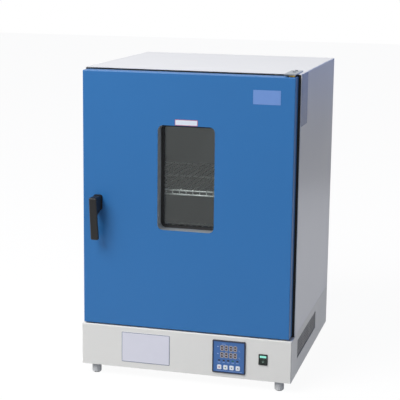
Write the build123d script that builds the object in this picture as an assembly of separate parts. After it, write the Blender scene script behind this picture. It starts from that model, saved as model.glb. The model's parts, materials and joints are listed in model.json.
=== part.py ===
from build123d import *
from math import cos, radians, sin
import os

# A floor-standing forced-air drying oven. X runs across the front, Y from the door's face
# to the back and Z up. Lengths are in millimetres. While it is drawn, Y is 0 at the door's
# face and Z is 0 on the floor; save() then puts the origin under the middle of the footprint.

# Cabinet
OVEN_W = 620.0
OVEN_D = 620.0
OVEN_H = 864.0
SHEET = 1.5
BEND_R = 3.0
FLANGE = 15.0
FIT = 0.3
RUN = 0.05
BEND_BEVEL = 0.6
HEX_FLAT = 0.866
SIDE_WALL = 60.0
BACK_WALL = 73.8
ROOF_WALL = 52.0
FLOOR_WALL = 37.5

# Feet
FOOT_H = 30.0
FOOT_R = 13.5
FOOT_EDGE = 4.0
FOOT_SIDE = 37.0
FOOT_FRONT = 24.0

# Base
BASE_H = 122.5
PAN_LIP = 14.0

# Door
DOOR_LEFT = 6.0
DOOR_RIGHT = 8.0
DOOR_T = 38.0
DOOR_LIFT = 3.5
DOOR_DROP = 5.3
DOOR_LIP = 14.0
SEAL_GAP = 5.0
SEAL_STRIP_T = 1.5
SEAL_STRIP_SET = 0.2
GASKET_MARGIN = 2.0
GASKET_W = 12.0
GASKET_CORNER_R = 18.0

# Window
WINDOW_W = 164.0
WINDOW_BELOW = 289.5
WINDOW_ABOVE = 145.2
WINDOW_R = 16.0
GLASS_T = 4.0
GLASS_GAP = 5.0
GLASS_SEAL_W = 8.0
GLASS_SEAL_T = 1.5
GLASS_INSET = 1.5
TRIM_W = 10.0

# Chamber
DUCT_W = 25.0
LINER_R = 8.0
PLUG_DEPTH = 12.0
PLUG_GAP = 7.0
PLUG_EDGE = 4.0

# Air path
BAFFLE_RISE = 50.0
BAFFLE_FRONT = 9.0
FAN_R = 88.0
FAN_LIFT = 8.0
FAN_H = 34.0
FAN_EYE_R = 56.0
FAN_PLATE_T = 2.0
FAN_HUB_R = 14.0
FAN_HUB_H = 24.0
BLADE_COUNT = 12
BLADE_INNER_R = 44.0
BLADE_TIP_GAP = 2.0
BLADE_SWEEP = 38.0
BLADE_BOW_R = 60.0
BLADE_FLATS = 3
BLADE_T = 1.6
GUARD_MARGIN = 9.0
GUARD_SLOTS = 9
GUARD_BAR = 3.0
SLOT_W = 60.0
SLOT_H = 7.0
SLOT_COLUMNS = 4
SLOT_ROWS = 7
DUCT_MOUTH_H = 26.0
DUCT_MOUTH_LOW = 11.0
DUCT_MOUTH_BAR = 30.0
DUCT_MOUTHS = 4

# Motor
SHAFT_R = 5.0
MOTOR_W = 84.0
MOTOR_H = 74.0
MOTOR_STACK_H = 44.0
MOTOR_COVER_W = 70.0
MOTOR_CORNER = 8.0
MOTOR_DROP = 16.0
MOTOR_POST_R = 4.0
MOTOR_POST_SIDE = 38.0
SHAFT_TAIL = 4.0

# Heaters
HEATER_R = 4.2
HEATER_SIDE = 30.0
HEATER_PITCH = 60.0
HEATER_END = 66.0
HEATER_RISE = 26.0
HEATER_BEND_R = 16.0
HEATER_TAIL = 22.0
HEATER_SIDES = 6
HEATER_GAP = 3.0

# Shelves
SHELF_SIDE = 7.0
SHELF_FRONT = 32.0
SHELF_BACK = 16.0
SHELF_CORNER_R = 14.0
SHELF_ROD_R = 3.0
SHELF_CROSS_R = 2.7
SHELF_WIRE_R = 1.5
SHELF_LIP_R = 2.8
SHELF_WELD = 0.5
SHELF_WIRE_PITCH = 20.0
SHELF_LIP_DROP = 11.0
SHELF_CROSS_RODS = 1
SHELF_UPPER_RISE = 357.0
SHELF_PITCH = 200.0
SPARE_LEDGE_RISE = 40.0
LEDGE_W = 14.0
LEDGE_H = 12.0
LEDGE_END = 30.0
RACK_STRAP_W = 24.0
RACK_STRAP_END = 53.0

# Hinge
PIN_R = 4.0
PIN_INSET = 14.0
PIN_BEHIND = 21.0
PIN_BITE = 13.0
BUSH_R = 7.0
BUSH_FLANGE_R = 9.0
HINGE_PLATE_W = 32.0
HINGE_PLATE_L = 122.0
HINGE_PLATE_T = 3.0
HINGE_PLATE_R = 4.0
HINGE_PLATE_OUT = 12.0
LOWER_PLATE_L = 70.0
HINGE_SCREW_R = 2.5
HINGE_SCREW_HEAD_R = 4.6
HINGE_SCREW_HEAD_T = 2.6
HINGE_SCREW_PITCH = 36.0
HINGE_SCREW_END = 16.0

# Door handle and latch
HANDLE_RISE = 360.0
LEVER_W = 22.0
LEVER_TOP = 18.0
LEVER_DROP = 106.0
LEVER_REACH = 50.0
LEVER_TIP_REACH = 35.0
LEVER_TIP_T = 13.0
HUB_H = 40.0
LEVER_EDGE = 2.5
LEVER_CORNER_R = 5.0
LEVER_SHOULDER = 12.0
LEVER_GRIP_T = 15.0
ROSETTE_T = 4.0
ROSETTE_BORDER = 2.0
ROSETTE_R = 6.0
SPINDLE_R = 4.0
CAM_T = 4.0
CAM_W = 9.0
CAM_L = 17.0
CAM_HUB_R = 5.0
CAM_GAP = 1.4
CAM_SIDE = 2.5
SLOT_CLEAR = 1.2
FRAME_SLOT_CLEAR = 2.2
KEEPER_W = 22.0
KEEPER_END = 14.0
KEEPER_CORNER_R = 3.0

# Controller and switch on the base's front
CONTROL_SIZE = 96.0
CONTROL_SIDE = 179.0
CONTROL_PROUD = 4.0
CONTROL_BORDER = 3.5
CONTROL_BODY = 91.0
CONTROL_BODY_D = 78.0
CONTROL_R = 3.0
FACE_T = 1.2
FACE_RECESS = 1.0
KEY_COUNT = 4
KEY_PITCH = 18.0
KEY_W = 12.4
KEY_H = 13.0
KEY_CORNER = 1.6
KEY_DROP = 31.0
KEY_PROUD = 1.2
KEY_TRAVEL = 0.8
KEY_GAP = 0.25
SWITCH_W = 25.5
SWITCH_H = 31.6
SWITCH_SIDE = 80.3
SWITCH_ABOVE = 1.6
SWITCH_STEP = 1.6
SWITCH_CORNER_R = 2.0
SWITCH_PROUD = 2.0
SWITCH_BORDER = 2.4
SWITCH_BODY_D = 22.0
SWITCH_WELL_D = 14.0
ROCKER_R = 13.0
ROCKER_TILT = 7.0
ROCKER_PROUD = 3.2
ROCKER_DIP = 2.6
ROCKER_BACK = 6.0
ROCKER_AXIS_Y = 1.0
ROCKER_CROWN = 1.0
ROCKER_AXLE_R = 1.6
ROCKER_AXLE_BITE = 0.8

# Side vents in the base
VENT_FRONT = 92.0
VENT_REAR = 220.0
VENT_BELOW = 43.5
VENT_ABOVE = 24.0
VENT_BORDER = 10.0
VENT_ROWS = 6
VENT_COLUMNS = 3
VENT_SLOT_SHARE = 0.5
VENT_BAR = 6.0

# Exhaust on the back
EXHAUST_R = 25.0
EXHAUST_DROP = 62.0
EXHAUST_STUB = 20.0
EXHAUST_DISC_T = 2.0
EXHAUST_DAMPER_R = 29.0
EXHAUST_PIN_R = 3.0
EXHAUST_PIN_OUT = 7.0
EXHAUST_GRIP_R = 20.0
EXHAUST_GRIP_T = 9.0
EXHAUST_GRIP_H = 12.0
EXHAUST_PORTS = 3
EXHAUST_PORT_ANGLE = 60.0
EXHAUST_PORT_INNER_R = 10.0
EXHAUST_PORT_OUTER_R = 20.5

# Back of the base
GLAND_SIDE = 110.0
GLAND_RISE = 46.0
GLAND_BORE_R = 4.25
GLAND_R = 9.0
GLAND_NUT_R = 13.0
GLAND_NUT_T = 8.0
GLAND_OUT = 25.0
GLAND_IN = 18.0
FUSE_SIDE = 160.0
FUSE_R = 7.0
FUSE_CAP_R = 9.0
FUSE_CAP_T = 9.0
FUSE_IN = 24.0

# Inside the base
RELAY_SIDE = 160.0
RELAY_BACK = 220.0
RELAY_W = 58.0
RELAY_L = 45.0
RELAY_T = 23.0
SINK_W = 100.0
SINK_L = 80.0
SINK_T = 5.0
SINK_FINS = 9
SINK_FIN_T = 2.0
SINK_FIN_H = 22.0
TERMINAL_SIDE = 120.0
TERMINAL_BACK = 80.0
TERMINAL_W = 72.0
TERMINAL_D = 24.0
TERMINAL_H = 20.0
TERMINAL_WAYS = 6
TERMINAL_STEP = 8.0

# Temperature probe
PROBE_R = 3.0
PROBE_SIDE = 75.0
PROBE_DROP = 62.0
PROBE_IN = 106.0
PROBE_OUT = 40.0
PROBE_NUT_R = 8.0
PROBE_NUT_T = 5.0

# Back panel screws
SCREW_R = 2.0
SCREW_HEAD_R = 4.0
SCREW_HEAD_T = 2.2
SCREW_ROWS = 3

# Cooling slots in the back of the base
BACK_SLOTS = 9
BACK_SLOT_W = 5.0
BACK_SLOT_PITCH = 16.0
BACK_SLOT_SIDE = 150.0
BACK_SLOT_MARGIN = 36.0

# Planes and edges that several pieces share
HALF_W = OVEN_W / 2
BASE_Z = FOOT_H
DECK_Z = BASE_Z + BASE_H
TOP_Z = BASE_Z + OVEN_H
CAB_Y = DOOR_T + SEAL_GAP
SHELL_BACK_Y = OVEN_D - SHEET
STRIP_Y = CAB_Y + SEAL_STRIP_SET
FRAME_Y = STRIP_Y + SEAL_STRIP_T
LINER_Y = FRAME_Y + SHEET
DOOR_X0 = DOOR_LEFT - HALF_W
DOOR_X1 = HALF_W - DOOR_RIGHT
DOOR_X = (DOOR_X0 + DOOR_X1) / 2
DOOR_Z0 = DECK_Z + DOOR_LIFT
DOOR_Z1 = TOP_Z - DOOR_DROP
INNER_Y = DOOR_T - 2 * SHEET
PLUG_Y = DOOR_T + PLUG_DEPTH
LINER_X = HALF_W - SIDE_WALL
CHAMBER_X = LINER_X - DUCT_W
CHAMBER_Z0 = DECK_Z + FLOOR_WALL
CHAMBER_Z1 = TOP_Z - ROOF_WALL
CHAMBER_BACK_Y = OVEN_D - BACK_WALL
WINDOW_H = DOOR_Z1 - WINDOW_ABOVE - DOOR_Z0 - WINDOW_BELOW
WINDOW_Z = DOOR_Z0 + WINDOW_BELOW + WINDOW_H / 2
SPINDLE_X = -LINER_X - SHEET - CAM_SIDE - CAM_HUB_R
SPINDLE_Z = DOOR_Z0 + HANDLE_RISE
PIN_X = DOOR_X1 - PIN_INSET
PIN_Y = DOOR_T - PIN_BEHIND
FAN_Y = (LINER_Y + CHAMBER_BACK_Y) / 2
FAN_Z = CHAMBER_Z0 + FAN_LIFT
BAFFLE_Z = CHAMBER_Z0 + BAFFLE_RISE
MOTOR_Z1 = DECK_Z - SHEET - MOTOR_DROP
MOTOR_Z0 = MOTOR_Z1 - MOTOR_H
CAM_Y = LINER_Y + CAM_GAP
HEATER_X = CHAMBER_X - HEATER_SIDE - HEATER_PITCH
EXHAUST_Z = CHAMBER_Z1 - EXHAUST_DROP
PROBE_X = CHAMBER_X - PROBE_SIDE
PROBE_Z = CHAMBER_Z1 - PROBE_DROP
CONTROL_X = HALF_W - CONTROL_SIDE
CONTROL_Z = (BASE_Z + DECK_Z) / 2
SWITCH_X = HALF_W - SWITCH_SIDE
SWITCH_Z = CONTROL_Z + SWITCH_ABOVE
VENT_Y = (VENT_FRONT, OVEN_D - VENT_REAR)
VENT_Z = (BASE_Z + VENT_BELOW, DECK_Z - VENT_ABOVE)
GLAND_X = GLAND_SIDE - HALF_W
FUSE_X = FUSE_SIDE - HALF_W
GLAND_Z = BASE_Z + GLAND_RISE
PIPE_END_Y = OVEN_D + EXHAUST_STUB
DAMPER_Y = PIPE_END_Y + FIT
REAR_REACH = DAMPER_Y + EXHAUST_DISC_T + EXHAUST_GRIP_H
ORIGIN_Y = (REAR_REACH - LEVER_REACH) / 2


def block(x, y, z):
    """A box between a low and a high limit on each axis."""
    centre = Pos((x[0] + x[1]) / 2, (y[0] + y[1]) / 2, (z[0] + z[1]) / 2)
    return centre * Box(x[1] - x[0], y[1] - y[0], z[1] - z[0])


def rod_x(y, z, radius, x0, x1):
    """A round bar along X."""
    return Pos((x0 + x1) / 2, y, z) * Rot(0, 90, 0) * Cylinder(radius, x1 - x0)


def rod_y(x, z, radius, y0, y1):
    """A round bar along Y."""
    return Pos(x, (y0 + y1) / 2, z) * Rot(90, 0, 0) * Cylinder(radius, y1 - y0)


def rod_z(x, y, radius, z0, z1):
    """A round bar along Z."""
    return Pos(x, y, (z0 + z1) / 2) * Cylinder(radius, z1 - z0)


def prism_y(sketch, x, z, y0, y1):
    """A sketch drawn with X right and Y up, stood in the XZ plane and extruded from y0 to y1."""
    return Pos(x, y1, z) * Rot(90, 0, 0) * extrude(sketch, y1 - y0)


def rounded(width, height, radius):
    """A rectangle with round corners."""
    return RectangleRounded(width, height, radius)


def ring_y(outer, inner, x, z, y0, y1):
    """A flat ring between two sketches, stood in the XZ plane."""
    return prism_y(outer - inner, x, z, y0, y1)


def save(name, shape):
    """Writes one sub-part, moved so that the origin is under the middle of the footprint."""
    os.makedirs("parts", exist_ok=True)
    placed = Pos(0, -ORIGIN_Y, 0) * shape
    placed.label = name
    export_step(placed, os.path.join("parts", name + ".step"))


def mirrored(shape):
    """The same shape on the other side of the oven's middle."""
    return mirror(shape, about=Plane.YZ)


# Feet


def foot(x, y):
    """A turned foot with a bevelled lower edge, seated under the base pan."""
    body = rod_z(x, y, FOOT_R, 0, FOOT_H)
    return chamfer(body.edges().filter_by(GeomType.CIRCLE).group_by(Axis.Z)[0], FOOT_EDGE)


def foot_places():
    """The centre of each foot."""
    x = HALF_W - FOOT_SIDE
    return [(sx * x, y) for y in (FOOT_FRONT, OVEN_D - FOOT_FRONT) for sx in (-1, 1)]


def feet():
    return Compound([foot(x, y) for x, y in foot_places()])


# Base


def base_cover():
    """The front, the sides and the top of the base, folded from one sheet."""
    z0, z1 = BASE_Z, DECK_Z
    outer = block((-HALF_W, HALF_W), (0, SHELL_BACK_Y), (z0, z1))
    front_corners = outer.edges().filter_by(Axis.Z).group_by(Axis.Y)[0]
    rim = outer.faces().sort_by(Axis.Z)[-1].edges()
    top_edges = rim.filter_by(lambda edge: edge.center().Y < SHELL_BACK_Y - SHEET)
    outer = fillet(front_corners + top_edges, BEND_R)
    half = HALF_W - SHEET
    inner = block((-half, half), (SHEET, SHELL_BACK_Y + SHEET), (z0 - SHEET, z1 - SHEET))
    front_corners = inner.edges().filter_by(Axis.Z).group_by(Axis.Y)[0]
    cover = outer - chamfer(front_corners, (BEND_R - SHEET) * BEND_BEVEL)
    cover -= front_cutter(CONTROL_X, CONTROL_Z, CONTROL_BODY + 2 * FIT, CONTROL_BODY + 2 * FIT)
    switch_w, switch_h = switch_body_size()
    cover -= front_cutter(SWITCH_X, SWITCH_Z, switch_w + 2 * FIT, switch_h + 2 * FIT)
    cover -= block((-HALF_W - SHEET, HALF_W + SHEET), VENT_Y, VENT_Z)
    deck = (DECK_Z - 2 * SHEET, DECK_Z + SHEET)
    cover -= rod_z(0, FAN_Y, SHAFT_R * 2, *deck)
    cover -= rod_z(PIN_X, PIN_Y, PIN_R + RUN, *deck)
    return cover - [heater_leg_room(side, HEATER_GAP, *deck) for side in (-1, 1)]


def front_cutter(x, z, width, height):
    """A cutter through the base's front, centred at x and z."""
    return block((x - width / 2, x + width / 2), (-SHEET, 3 * SHEET), (z - height / 2, z + height / 2))


def base_pan():
    """The bottom tray of the base, with a lip all round that is cut away for the controller."""
    half = HALF_W - SHEET
    z0 = BASE_Z
    pan = block((-half, half), (SHEET, SHELL_BACK_Y), (z0, z0 + PAN_LIP))
    pan = fillet(pan.edges().filter_by(Axis.Z).group_by(Axis.Y)[0], BEND_R - SHEET)
    room_y = (2 * SHEET, SHELL_BACK_Y - SHEET)
    pan -= block((-half + SHEET, half - SHEET), room_y, (z0 + SHEET, z0 + 2 * PAN_LIP))
    lip_room = CONTROL_BODY + 4 * FIT
    return pan - front_cutter(CONTROL_X, CONTROL_Z, lip_room, lip_room)


def base_back():
    """The rear plate of the base, with cooling slots and holes for the cable gland and the fuse holder."""
    plate = block((-HALF_W, HALF_W), (SHELL_BACK_Y, OVEN_D), (BASE_Z, DECK_Z))
    plate = fillet(plate.edges().filter_by(Axis.Y).group_by(Axis.Z)[-1], BEND_R)
    plate -= rod_y(GLAND_X, GLAND_Z, GLAND_R + RUN, SHELL_BACK_Y - SHEET, OVEN_D + SHEET)
    plate -= rod_y(FUSE_X, GLAND_Z, FUSE_R + RUN, SHELL_BACK_Y - SHEET, OVEN_D + SHEET)
    last = HALF_W - BACK_SLOT_SIDE
    for index in range(BACK_SLOTS):
        x = last - index * BACK_SLOT_PITCH
        across = (x - BACK_SLOT_W / 2, x + BACK_SLOT_W / 2)
        up = (BASE_Z + BACK_SLOT_MARGIN, DECK_Z - BACK_SLOT_MARGIN)
        plate -= block(across, (SHELL_BACK_Y - SHEET, OVEN_D + SHEET), up)
    return plate


def vent_grille():
    """A plate with rows of long slots, behind the opening in the right side of the base."""
    x0 = HALF_W - 2 * SHEET
    plate_y = (VENT_Y[0] - VENT_BORDER, VENT_Y[1] + VENT_BORDER)
    plate_z = (VENT_Z[0] - VENT_BORDER, VENT_Z[1] + VENT_BORDER)
    plate = block((x0, x0 + SHEET), plate_y, plate_z)
    pitch_y = (VENT_Y[1] - VENT_Y[0]) / VENT_COLUMNS
    pitch_z = (VENT_Z[1] - VENT_Z[0]) / VENT_ROWS
    half = pitch_z * VENT_SLOT_SHARE / 2
    slots = []
    for row in range(VENT_ROWS):
        z = VENT_Z[0] + (row + 0.5) * pitch_z
        for column in range(VENT_COLUMNS):
            low = VENT_Y[0] + column * pitch_y + VENT_BAR / 2
            along = (low, low + pitch_y - VENT_BAR)
            slots.append(block((x0 - SHEET, x0 + 2 * SHEET), along, (z - half, z + half)))
    return plate - slots


# Cabinet


def outer_shell():
    """The sides and the top in one folded sheet, with a flange at the back for the rear panel."""
    outer = block((-HALF_W, HALF_W), (CAB_Y, SHELL_BACK_Y), (DECK_Z, TOP_Z))
    outer = fillet(outer.edges().filter_by(Axis.Y).group_by(Axis.Z)[-1], BEND_R)
    half = HALF_W - SHEET
    room = block((-half, half), (CAB_Y - SHEET, SHELL_BACK_Y - SHEET), (DECK_Z - SHEET, TOP_Z - SHEET))
    room = fillet(room.edges().filter_by(Axis.Y).group_by(Axis.Z)[-1], BEND_R - SHEET)
    back = block(
        (-half + FLANGE, half - FLANGE),
        (SHELL_BACK_Y - 2 * SHEET, SHELL_BACK_Y + SHEET),
        (DECK_Z - SHEET, TOP_Z - SHEET - FLANGE),
    )
    shell = outer - room - back
    return shell - screw_holes()


def screw_places():
    """Screws down both edges of the back panel and one in the middle of its top."""
    x = HALF_W - FLANGE / 2 - SHEET
    low = DECK_Z + FLANGE
    high = TOP_Z - FLANGE / 2 - SHEET
    step = (high - low) / (SCREW_ROWS - 1)
    places = [(sx * x, low + row * step) for row in range(SCREW_ROWS) for sx in (-1, 1)]
    return places + [(0.0, high)]


def screw_holes():
    """A cutter for the square hole under each screw, through the panel and the shell's flange."""
    half = SCREW_R + FIT
    deep = (SHELL_BACK_Y - 2 * SHEET, OVEN_D + SHEET)
    return [block((x - half, x + half), deep, (z - half, z + half)) for x, z in screw_places()]


def back_panel():
    """The rear panel, with the exhaust hole and the screw holes."""
    plate = block((-HALF_W, HALF_W), (SHELL_BACK_Y, OVEN_D), (DECK_Z, TOP_Z))
    plate = fillet(plate.edges().filter_by(Axis.Y).group_by(Axis.Z)[-1], BEND_R)
    plate -= rod_y(0, EXHAUST_Z, EXHAUST_R + FIT, SHELL_BACK_Y - SHEET, OVEN_D + SHEET)
    return plate - screw_holes()


def back_screws():
    """Hexagon-head screws through the back panel into the clip nuts of the shell's flange."""
    screws = []
    for x, z in screw_places():
        head = prism_y(RegularPolygon(SCREW_HEAD_R, 6), x, z, OVEN_D, OVEN_D + SCREW_HEAD_T)
        screws.append(head + prism_y(RegularPolygon(SCREW_R, 6), x, z, SHELL_BACK_Y - SHEET, OVEN_D))
    return Compound(screws)


def front_frame():
    """The flat frame round the chamber's mouth, with a welded edge against the shell."""
    half = HALF_W - SHEET
    frame = block((-half, half), (FRAME_Y, FRAME_Y + FLANGE), (DECK_Z, TOP_Z - SHEET))
    frame = fillet(frame.edges().filter_by(Axis.Y).group_by(Axis.Z)[-1], BEND_R - SHEET)
    frame -= block(
        (-half + SHEET, half - SHEET),
        (LINER_Y, FRAME_Y + 2 * FLANGE),
        (DECK_Z + SHEET, TOP_Z - 2 * SHEET),
    )
    frame -= block((-CHAMBER_X, CHAMBER_X), (FRAME_Y - SHEET, LINER_Y + SHEET), (CHAMBER_Z0, CHAMBER_Z1))
    return frame - latch_slot(FRAME_SLOT_CLEAR, FRAME_Y - SHEET, LINER_Y + SHEET)


def latch_slot(clear, y0, y1):
    """A cutter for the slot that the latch cam enters while it stands upright."""
    half = CAM_HUB_R + clear
    low, high = SPINDLE_Z - half, SPINDLE_Z + CAM_L + clear
    return block((SPINDLE_X - half, SPINDLE_X + half), (y0, y1), (low, high))


def keeper_outline(grow):
    """The keeper's outline as a block, grown sideways and upwards."""
    half = KEEPER_W / 2 + grow
    low = SPINDLE_Z - CAM_HUB_R - KEEPER_END - grow
    high = SPINDLE_Z + CAM_L + KEEPER_END + grow
    return block((SPINDLE_X - half, SPINDLE_X + half), (STRIP_Y, FRAME_Y), (low, high))


def latch_keeper():
    """The hardened plate with the slot that the cam turns behind."""
    plate = keeper_outline(0)
    plate = fillet(plate.edges().filter_by(Axis.Y), KEEPER_CORNER_R)
    return plate - latch_slot(SLOT_CLEAR, STRIP_Y - SHEET, FRAME_Y + SHEET)


def gasket_box(grow):
    """The half width, low and high of the rectangle midway along the door gasket, grown all round."""
    inset = DOOR_LIP + GASKET_MARGIN + GASKET_W / 2
    return (DOOR_X1 - DOOR_X0) / 2 - inset + grow, DOOR_Z0 + inset - grow, DOOR_Z1 - inset + grow


def frame_seal():
    """A flat silicone strip on the front frame that the door's gasket closes on."""
    half = HALF_W - SHEET - FIT
    low, high = DECK_Z + FIT, TOP_Z - SHEET - FIT
    hole_half, hole_low, hole_high = gasket_box(-GASKET_W / 2 - SHEET)
    strip = block((-half, half), (STRIP_Y, FRAME_Y), (low, high))
    strip = fillet(strip.edges().filter_by(Axis.Y).group_by(Axis.Z)[-1], BEND_R - SHEET)
    hole = (DOOR_X - hole_half, DOOR_X + hole_half)
    strip -= block(hole, (STRIP_Y - SHEET, FRAME_Y + SHEET), (hole_low, hole_high))
    return strip - keeper_outline(FIT)


def liner():
    """The stainless chamber: an open box that butts against the front frame."""
    x = LINER_X
    z0, z1 = CHAMBER_Z0, CHAMBER_Z1
    outer = block((-x - SHEET, x + SHEET), (LINER_Y, CHAMBER_BACK_Y + SHEET), (z0 - SHEET, z1 + SHEET))
    outer = chamfer(outer.edges().filter_by(Axis.Y), (LINER_R + SHEET) * BEND_BEVEL)
    inner = block((-x, x), (LINER_Y - SHEET, CHAMBER_BACK_Y), (z0, z1))
    box = outer - fillet(inner.edges().filter_by(Axis.Y), LINER_R)
    box -= rod_z(0, FAN_Y, SHAFT_R * 1.6, z0 - 2 * SHEET, z0 + SHEET)
    leg_hole = extrude(RegularPolygon(HEATER_R + FIT, HEATER_SIDES), 3 * SHEET)
    box -= [Pos(leg_x, leg_y, z0 - 2 * SHEET) * leg_hole for leg_x, leg_y in heater_leg_places()]
    back = (CHAMBER_BACK_Y - SHEET, CHAMBER_BACK_Y + 2 * SHEET)
    box -= rod_y(0, EXHAUST_Z, EXHAUST_R + FIT, *back)
    box -= rod_y(PROBE_X, PROBE_Z, PROBE_R + FIT, *back)
    return box


def cabinet_insulation():
    """Mineral wool that fills the space between the shell and the liner."""
    half = HALF_W - SHEET - FIT
    front = FRAME_Y + FLANGE + FIT
    back = SHELL_BACK_Y - SHEET - FIT
    wool = block((-half, half), (front, back), (DECK_Z + FIT, TOP_Z - SHEET - FIT))
    wool = chamfer(wool.edges().filter_by(Axis.Y).group_by(Axis.Z)[-1], BEND_R)
    x = LINER_X + SHEET + FIT
    z0, z1 = CHAMBER_Z0 - SHEET - FIT, CHAMBER_Z1 + SHEET + FIT
    wool -= block((-x, x), (front - SHEET, CHAMBER_BACK_Y + SHEET + FIT), (z0, z1))
    wool -= rod_z(0, FAN_Y, SHAFT_R * 2.4, DECK_Z, CHAMBER_Z0)
    wool -= [heater_leg_room(side, 2 * FIT, DECK_Z, CHAMBER_Z0) for side in (-1, 1)]
    wool -= rod_y(0, EXHAUST_Z, EXHAUST_R + FIT, CHAMBER_BACK_Y, OVEN_D)
    return wool - rod_y(PROBE_X, PROBE_Z, PROBE_R + FIT, CHAMBER_BACK_Y, CHAMBER_BACK_Y + PROBE_OUT + FIT)


# Chamber fittings


def duct_panel():
    """The slotted right wall of the chamber: a channel whose legs close the air duct on the liner."""
    x0 = CHAMBER_X
    y0, y1 = LINER_Y + FIT, CHAMBER_BACK_Y - FIT
    z0, z1 = CHAMBER_Z0 + FIT, CHAMBER_Z1 - FIT
    leg = LINER_X - FIT
    room = block((-leg, leg), (y0, y1), (z0, z1))
    panel = fillet(room.edges().filter_by(Axis.Y), LINER_R) & block((x0, leg), (y0, y1), (z0, z1))
    panel -= block((x0 + SHEET, leg + SHEET), (y0 + SHEET, y1 - SHEET), (z0 - SHEET, z1 + SHEET))
    cutters = []
    wall = (x0 - SHEET, x0 + 2 * SHEET)
    pitch_y = (y1 - y0) / (SLOT_COLUMNS + 0.5)
    rise = BAFFLE_Z + SHEET
    pitch_z = (z1 - rise) / (SLOT_ROWS + 0.5)
    for row in range(SLOT_ROWS):
        z = rise + (row + 0.75) * pitch_z
        for column in range(SLOT_COLUMNS):
            y = y0 + (column + 0.75) * pitch_y
            slot_y = (y - SLOT_W / 2, y + SLOT_W / 2)
            slot_z = (z - SLOT_H / 2, z + SLOT_H / 2)
            cutters.append(block(wall, slot_y, slot_z))
    mouth_pitch = (y1 - y0) / DUCT_MOUTHS
    mouth_z = (CHAMBER_Z0 + DUCT_MOUTH_LOW, CHAMBER_Z0 + DUCT_MOUTH_LOW + DUCT_MOUTH_H)
    for index in range(DUCT_MOUTHS):
        low = y0 + index * mouth_pitch + DUCT_MOUTH_BAR / 2
        cutters.append(block(wall, (low, low + mouth_pitch - DUCT_MOUTH_BAR), mouth_z))
    return panel - cutters


def floor_baffle():
    """The removable plate over the fan: a tray with legs at the front and the back and the air inlet."""
    half = CHAMBER_X - FIT
    y0, y1 = LINER_Y + BAFFLE_FRONT, CHAMBER_BACK_Y - FIT
    plate = block((-half, half), (y0, y1), (CHAMBER_Z0, BAFFLE_Z + SHEET))
    plate = fillet(plate.edges().filter_by(Axis.X).group_by(Axis.Z)[-1], BEND_R)
    inner = block((-half - SHEET, half + SHEET), (y0 + SHEET, y1 - SHEET), (CHAMBER_Z0 - SHEET, BAFFLE_Z))
    plate -= fillet(inner.edges().filter_by(Axis.X).group_by(Axis.Z)[-1], BEND_R - SHEET)
    return plate - rod_z(0, FAN_Y, FAN_EYE_R, BAFFLE_Z - SHEET, BAFFLE_Z + 2 * SHEET)


def inlet_guard():
    """The guard over the fan's inlet: a square plate with a row of slots over the hole."""
    half = FAN_EYE_R + GUARD_MARGIN
    z0, z1 = BAFFLE_Z + SHEET, BAFFLE_Z + 2 * SHEET
    guard = block((-half, half), (FAN_Y - half, FAN_Y + half), (z0, z1))
    pitch = (2 * FAN_EYE_R + GUARD_BAR) / GUARD_SLOTS
    slots = []
    for index in range(GUARD_SLOTS):
        low = FAN_Y - FAN_EYE_R + index * pitch
        along = (low, low + pitch - GUARD_BAR)
        slots.append(block((-FAN_EYE_R, FAN_EYE_R), along, (z0 - SHEET, z1 + SHEET)))
    return guard - slots


def blade_face():
    """One backward-curved blade seen along the fan's axis: a strip bent in flats along one arc."""
    turn = radians(BLADE_SWEEP)
    root = (BLADE_INNER_R, 0)
    outer = FAN_R - BLADE_TIP_GAP
    tip = (outer * cos(turn), outer * sin(turn))
    arc = RadiusArc(root, tip, BLADE_BOW_R)
    steps = [index / BLADE_FLATS for index in range(BLADE_FLATS + 1)]
    across = [(arc % step).rotate(Axis.Z, 90) * (BLADE_T / 2) for step in steps]
    front = [arc @ step + offset for step, offset in zip(steps, across)]
    back = [arc @ step - offset for step, offset in zip(steps, across)]
    return make_face(Polyline(*front, *reversed(back), close=True))


def impeller():
    """The centrifugal fan wheel: back plate, hub, curved blades and the ring round its eye."""
    z0, z1 = FAN_Z, FAN_Z + FAN_H
    wheel = rod_z(0, 0, FAN_R, z0, z0 + FAN_PLATE_T)
    wheel += rod_z(0, 0, FAN_R, z1 - FAN_PLATE_T, z1) - rod_z(0, 0, FAN_EYE_R, z0, z1 + SHEET)
    wheel += rod_z(0, 0, FAN_HUB_R, z0, z0 + FAN_HUB_H)
    blade = Pos(0, 0, z0 + FAN_PLATE_T / 2) * extrude(blade_face(), FAN_H - FAN_PLATE_T)
    for index in range(BLADE_COUNT):
        wheel += Rot(0, 0, 360.0 * index / BLADE_COUNT) * blade
    wheel -= rod_z(0, 0, SHAFT_R + RUN / 2, z0 - SHEET, z1)
    return Pos(0, FAN_Y, 0) * wheel


def fan_shaft():
    """The motor's long shaft, up through the deck and the liner to the wheel's hub."""
    return rod_z(0, FAN_Y, SHAFT_R, MOTOR_Z0 - SHAFT_TAIL, FAN_Z + FAN_HUB_H + SHAFT_TAIL)


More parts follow.
